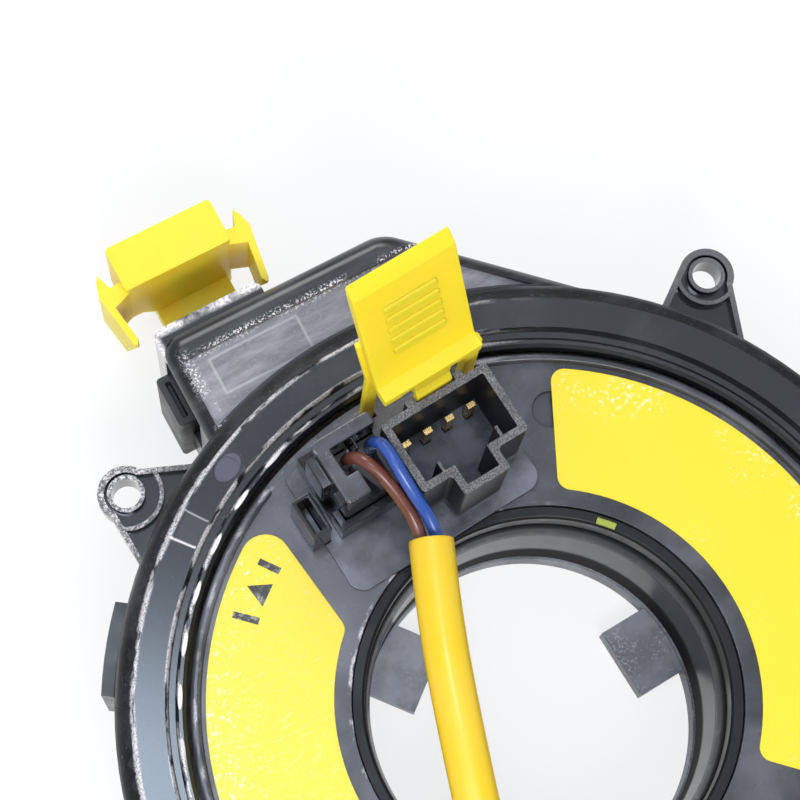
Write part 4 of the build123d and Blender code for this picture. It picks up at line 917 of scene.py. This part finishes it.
class CLOCKSPRING_OT_lock_tab(Piece, Operator):
    """Yellow pull tab that locks the rotor until the wheel is fitted"""

    bl_idname = "clock_spring.lock_tab"
    bl_label = "Lock tab"

    def execute(self, context):
        plate = prism("pull_tab", TAB_SIDE, *TAB_X)
        for left, right, top in TAB_NOTCHES:
            cut_away(plate, prism("notch", ((34, 37), (39, 37), (39, top), (34, top)), left, right))
        finished(plate, rounding(0.42, 4, 25))
        limbs = [prism("strap", STRAP_SIDE, *STRAP_X), prism("leg", LEG_SIDE, *LEG_X),
                 prism("apron", APRON_SIDE, *APRON_X)]
        for limb in limbs:
            finished(limb, rounding(0.22, 3, 25))
        tab = joined_pieces(plate, *limbs, *self.ribs())
        smooth(turned_to_rest(tab), 35)
        coated(tab, yellow_plastic("tab_yellow", self.settings().yellow.tab))
        stands_for(tab, "tab", "lock_tab")
        return {"FINISHED"}

    @staticmethod
    def ribs():
        """Five soft bars up the plate, one modelled and the rest copied."""
        fold, brow = Vector((0, *TAB_SIDE[2])), Vector((0, *TAB_SIDE[3]))
        rise = (brow - fold).normalized()
        spot = (fold + rise * RIB_FIRST + Vector((sum(TAB_X) / 2, 0, 0))) * MM
        lean = -math.atan2(rise.y, rise.z)
        bars = [finished(block(spot, RIB_SIZE, (lean, 0, 0)), rounding(0.26, 4, 30))]
        for n in range(1, RIB_COUNT):
            only(bars[0])
            bpy.ops.object.duplicate()
            other = bpy.context.object
            other.location = rise * (n * RIB_PITCH * MM)
            bpy.ops.object.transform_apply()
            bars.append(other)
        return bars


# The lead's middle line in mm, from the sleeve's mouth to its other end, on the rotor's own axes.
LEAD_LINE = (
    (-3.2, 21.2, 34.3), (-5.75, 16.2, 34.5), (-9.4, 8.0, 34.6),
    (-12.9, -1.2, 34.0), (-15.5, -8.6, 32.3), (-15.2, -16.8, 29.2),
    (-11.8, -24.0, 27.3), (-5.75, -29.3, 26.7), (1.7, -31.6, 26.7),
    (7.7, -31.0, 26.7),
)
BROWN_RISE = ((-6.45, 33.9, 33.05), (-6.4, 33.8, 36.0), (-5.3, 32.3, 38.6),
              (-4.2, 28.9, 38.0))
BLUE_RISE = ((-3.15, 34.0, 33.05), (-3.1, 33.9, 36.3), (-2.5, 32.2, 39.5),
             (-2.7, 27.4, 38.3))
WIRE_ASIDE = 0.88  # each wire beside the lead's middle line


def past(start, end, reach):
    """The point a given distance past the end of a run."""
    return Vector(end) + (Vector(end) - Vector(start)).normalized() * reach


def beside(line, aside):
    """A line's points moved sideways in plan, to the left of its direction."""
    moved = []
    for n, point in enumerate(line):
        runs = [(Vector(line[k + 1]) - Vector(line[k])).xy.normalized()
                for k in (n - 1, n) if 0 <= k < len(line) - 1]
        heading = sum(runs, Vector((0, 0)))
        stretch = aside * len(runs) / heading.length_squared
        moved.append(Vector(point) + Vector((-heading.y, heading.x, 0)) * stretch)
    return moved


def smooth_line(name, points):
    """A NURBS curve along a route in mm, as a cord lies."""
    curve = bpy.data.curves.new(name, "CURVE")
    curve.dimensions = "3D"
    curve.resolution_u = 16
    spline = curve.splines.new("NURBS")
    spline.points.add(len(points) - 1)
    for control, point in zip(spline.points, points):
        control.co = (*(Vector(point) * MM), 1)
    spline.order_u = 3
    spline.use_endpoint_u = True
    return turned_to_rest(placed(name, curve))


def insulation(name, base, roughness):
    """Soft insulation with a faint drag along its length."""
    finish, where = plain_finish(name, base, roughness, coat=(0.25, 0.18), Subsurface_Weight=0.04,
                                 Subsurface_Radius=(0.002, 0.001, 0.0005))
    tone = cloud(where, 180, 4.0, 0.3, 0.75, 0.0, 0.10)
    pale = tuple(min(1.0, 0.25 + 0.8 * part) for part in base)
    return surfaced(finish, mixed(tone, base, pale), uneven(where, 400, roughness - 0.05, roughness + 0.10),
                    grain=(noise(where, 1400, 3.0), 0.06, 0.03))


# Cuts in the far connector as (place, size) in mm: its mouth, the slots beside and before the
# latch on its top, and two finger grooves on each side.
SQUIB_CUTS = (
    ((4.6, 0.0, -0.2), (3.0, 4.6, 3.0)),
    ((0.6, 1.5, 2.5), (6.0, 0.5, 1.4)), ((0.6, -1.5, 2.5), (6.0, 0.5, 1.4)),
    ((3.4, 0.0, 2.5), (0.5, 3.4, 1.4)),
    ((-2.6, 3.5, 0.0), (0.7, 0.9, 3.6)), ((-1.0, 3.5, 0.0), (0.7, 0.9, 3.6)),
    ((-2.6, -3.5, 0.0), (0.7, 0.9, 3.6)), ((-1.0, -3.5, 0.0), (0.7, 0.9, 3.6)),
)


class CLOCKSPRING_OT_squib_connector(Piece, Operator):
    """Yellow connector at the end of the lead"""

    bl_idname = "clock_spring.squib_connector"
    bl_label = "Squib connector"

    def execute(self, context):
        plug = welded_copy("squib_connector", "squib_plug")
        for place, size in SQUIB_CUTS:
            cut_away(plug, self.cutter(place, size))
        finished(plug, rounding(0.18, 2, 30))
        smooth(plug)
        coated(plug, yellow_plastic("squib_yellow", self.settings().yellow.header))
        stands_for(plug, "rotor", "squib_connector")
        return {"FINISHED"}

    @staticmethod
    def cutter(place, size):
        """A block in the connector's own axes: along the lead, across it, and up from its middle."""
        heading = (Vector(LEAD_LINE[-1]) - Vector(LEAD_LINE[-2])).xy.normalized()
        turn = math.atan2(heading.y, heading.x) + REST_TURN
        lower, upper = (Vector(corner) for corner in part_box("squib_connector"))
        spot = (lower + upper) / 2 + Matrix.Rotation(turn, 3, "Z") @ (Vector(place) * MM)
        return block(spot, size, (0, 0, turn))


class CLOCKSPRING_OT_lead(Piece, Operator):
    """Brown and blue wires in their yellow sleeve, from the plug to the squib connector"""

    bl_idname = "clock_spring.lead"
    bl_label = "Lead"

    def execute(self, context):
        lead = self.settings().lead
        mouth = past(LEAD_LINE[1], LEAD_LINE[0], 1.2)
        tail = past(LEAD_LINE[-2], LEAD_LINE[-1], 3.6)
        inside = [mouth, *LEAD_LINE[1:-1], tail]
        for name, rise, aside, base in (("brown_wire", BROWN_RISE, -WIRE_ASIDE, lead.brown),
                                        ("blue_wire", BLUE_RISE, WIRE_ASIDE, lead.blue)):
            wire = smooth_line(name + "_cord", [*rise, *beside(inside, aside)])
            wire.data.bevel_depth = lead.wire_width / 2
            wire.data.bevel_resolution = 6
            wire.data.use_fill_caps = True
            coated(wire, insulation(name, base, 0.28))
            stands_for(wire, "rotor", name)
        line = smooth_line("sleeve", LEAD_LINE)
        bare = bpy.data.meshes.new_from_object(line)
        line.data.bevel_depth = lead.sleeve_width / 2
        line.data.bevel_resolution = 14
        only(line)
        bpy.ops.object.convert(target="MESH")
        sleeve = bpy.context.object
        wall = (lead.sleeve_width - lead.sleeve_bore) / 2
        finished(sleeve, ("SOLIDIFY", {"thickness": wall, "offset": -1}), rounding(0.12, 2, 60))
        smooth(sleeve, 50)
        coated(sleeve, insulation("sleeve_yellow", lead.sleeve, 0.36))
        stands_for(sleeve, "rotor", "lead_sleeve")
        return {"FINISHED"}


# Each lamp's name, place and width in metres, and its power as a share of the setting.
LAMPS = (("key", (0.08, 0.42, 0.36), 0.24, 1.20), ("left", (-0.30, -0.16, 0.36), 0.26, 0.55),
         ("front", (-0.10, -0.26, 0.40), 0.16, 1.30))
LAMP_TINT = (1.0, 0.99, 0.97)
LAMPS_AIM = (0, 0, 0.02)
OVERHEAD_FROM = (0.78, 0.93)  # sines of the heights between which the tent brightens
WINDOW_EDGES = (7.2, 4.2)  # degrees from its middle where the window's light starts and is full
UNSEEN_WHITE = 0.78  # share of plain white in what the camera sees of the floor
CAMERA_PLACE = (-0.044224, -0.015856, 0.295759)
CAMERA_RIGHT = (0.877608, -0.476502, 0.052441)
CAMERA_UP = (0.450692, 0.857412, 0.248439)


class CLOCKSPRING_OT_stage(Piece, Operator):
    """Pale floor, soft lamps and the camera"""

    bl_idname = "clock_spring.stage"
    bl_label = "Stage"

    def execute(self, context):
        stage = self.settings().stage
        nothing_selected()
        bpy.ops.mesh.primitive_plane_add(size=4, location=(0, 0, -0.05 * MM))
        floor = bpy.context.object
        floor.name = "floor"
        bpy.ops.object.transform_apply()
        coated(floor, self.floor_finish(stage))
        self.camera(stage)
        for name, place, side, share_of_key in LAMPS:
            self.lamp(name, place, side, stage.key_power * share_of_key)
        self.world(stage)
        context.scene.view_settings.view_transform = "Standard"
        return {"FINISHED"}

    @staticmethod
    def floor_finish(stage):
        finish, where = plain_finish("floor_white", stage.floor, 0.7)
        tone = cloud(where, 6, 2.0, 0.3, 0.7, 0.0, 0.03)
        surfaced(finish, mixed(tone, stage.floor, (0.80, 0.81, 0.84)))
        nodes = finish.node_tree.nodes
        rays = nodes.new("ShaderNodeLightPath").outputs
        seen = most(*(rays[f"Is {kind} Ray"] for kind in ("Camera", "Glossy", "Transmission")))
        mix = put("MixShader", Fac=times(seen, UNSEEN_WHITE))
        glow = nodes.new("ShaderNodeEmission")
        fill(glow.inputs["Color"], (1, 1, 1, 1))
        fill(mix.inputs[1], nodes["Principled BSDF"].outputs[0])
        fill(mix.inputs[2], glow.outputs[0])
        fill(nodes["Material Output"].inputs["Surface"], mix.outputs[0])
        return finish

    @staticmethod
    def world(stage):
        """A dim tent that brightens overhead, white behind the object."""
        world = bpy.data.worlds.new("pale_room")
        world.use_nodes = True
        tree = world.node_tree
        background = tree.nodes["Background"]
        heading = tree.nodes.new("ShaderNodeTexCoord").outputs["Generated"]
        overhead = spread(put("SeparateXYZ", Vector=heading).outputs["Z"], *OVERHEAD_FROM)
        towards = Vector(stage.window_from).normalized()
        facing = put("VectorMath", {"operation": "DOT_PRODUCT"}, _0=heading, _1=towards)
        window = spread(facing.outputs["Value"], *(math.cos(math.radians(edge)) for edge in WINDOW_EDGES))
        seen = tree.nodes.new("ShaderNodeLightPath").outputs["Is Camera Ray"]
        light = coats(stage.tent, (overhead, stage.overhead), (window, stage.window), (seen, (1, 1, 1)))
        fill(background.inputs["Color"], light)
        background.inputs["Strength"].default_value = 1.0
        bpy.context.scene.world = world

    @staticmethod
    def lamp(name, place, side, power):
        """A square lamp aimed at the object."""
        data = bpy.data.lights.new(name, "AREA")
        data.size = side
        data.energy = power
        data.color = LAMP_TINT
        lamp = placed(name, data)
        lamp.location = place
        lamp.rotation_euler = (Vector(LAMPS_AIM) - Vector(place)).to_track_quat("-Z", "Y").to_euler()

    @staticmethod
    def camera(stage):
        """The camera looks down on the connectors from a little behind the axis."""
        data = bpy.data.cameras.new("view")
        data.lens = stage.focal
        right, up = Vector(CAMERA_RIGHT), Vector(CAMERA_UP)
        camera = placed("view", data)
        turn = Matrix((right, up, right.cross(up))).transposed().to_4x4()
        camera.matrix_world = Matrix.Translation(CAMERA_PLACE) @ turn
        bpy.context.scene.camera = camera


class ClockSpringSettings(PropertyGroup):
    case: PointerProperty(type=CaseSettings)
    rotor: PointerProperty(type=RotorSettings)
    connector: PointerProperty(type=ConnectorSettings)
    yellow: PointerProperty(type=YellowSettings)
    lead: PointerProperty(type=LeadSettings)
    stage: PointerProperty(type=StageSettings)


OPERATORS = tuple(Piece.__subclasses__())  # in the order they are written


class CLOCKSPRING_PT_panel(Panel):
    """Buttons for each piece, with the sizes and colours they read"""

    bl_idname = "CLOCKSPRING_PT_panel"
    bl_label = "Clock spring"
    bl_space_type = "VIEW_3D"
    bl_region_type = "UI"
    bl_category = "Clock Spring"

    def draw(self, context):
        settings = context.scene.clock_spring
        for operator in OPERATORS:
            self.layout.operator(operator.bl_idname)
        for name in ClockSpringSettings.__annotations__:
            group = getattr(settings, name)
            box = self.layout.box()
            box.label(text=name.title())
            for key in group.__annotations__:
                box.prop(group, key)


CLASSES = (
    CaseSettings, RotorSettings, ConnectorSettings, YellowSettings, LeadSettings, StageSettings,
    ClockSpringSettings, *OPERATORS, CLOCKSPRING_PT_panel,
)


def register():
    for each in CLASSES:
        bpy.utils.register_class(each)
    bpy.types.Scene.clock_spring = PointerProperty(type=ClockSpringSettings)


def unregister():
    del bpy.types.Scene.clock_spring
    for each in reversed(CLASSES):
        bpy.utils.unregister_class(each)


def corners(box):
    return [list(corner) for corner in box]


def main():
    register()
    for operator in OPERATORS:
        group, name = operator.bl_idname.split(".")
        getattr(getattr(bpy.ops, group), name)()


if __name__ == "__main__":
    main()
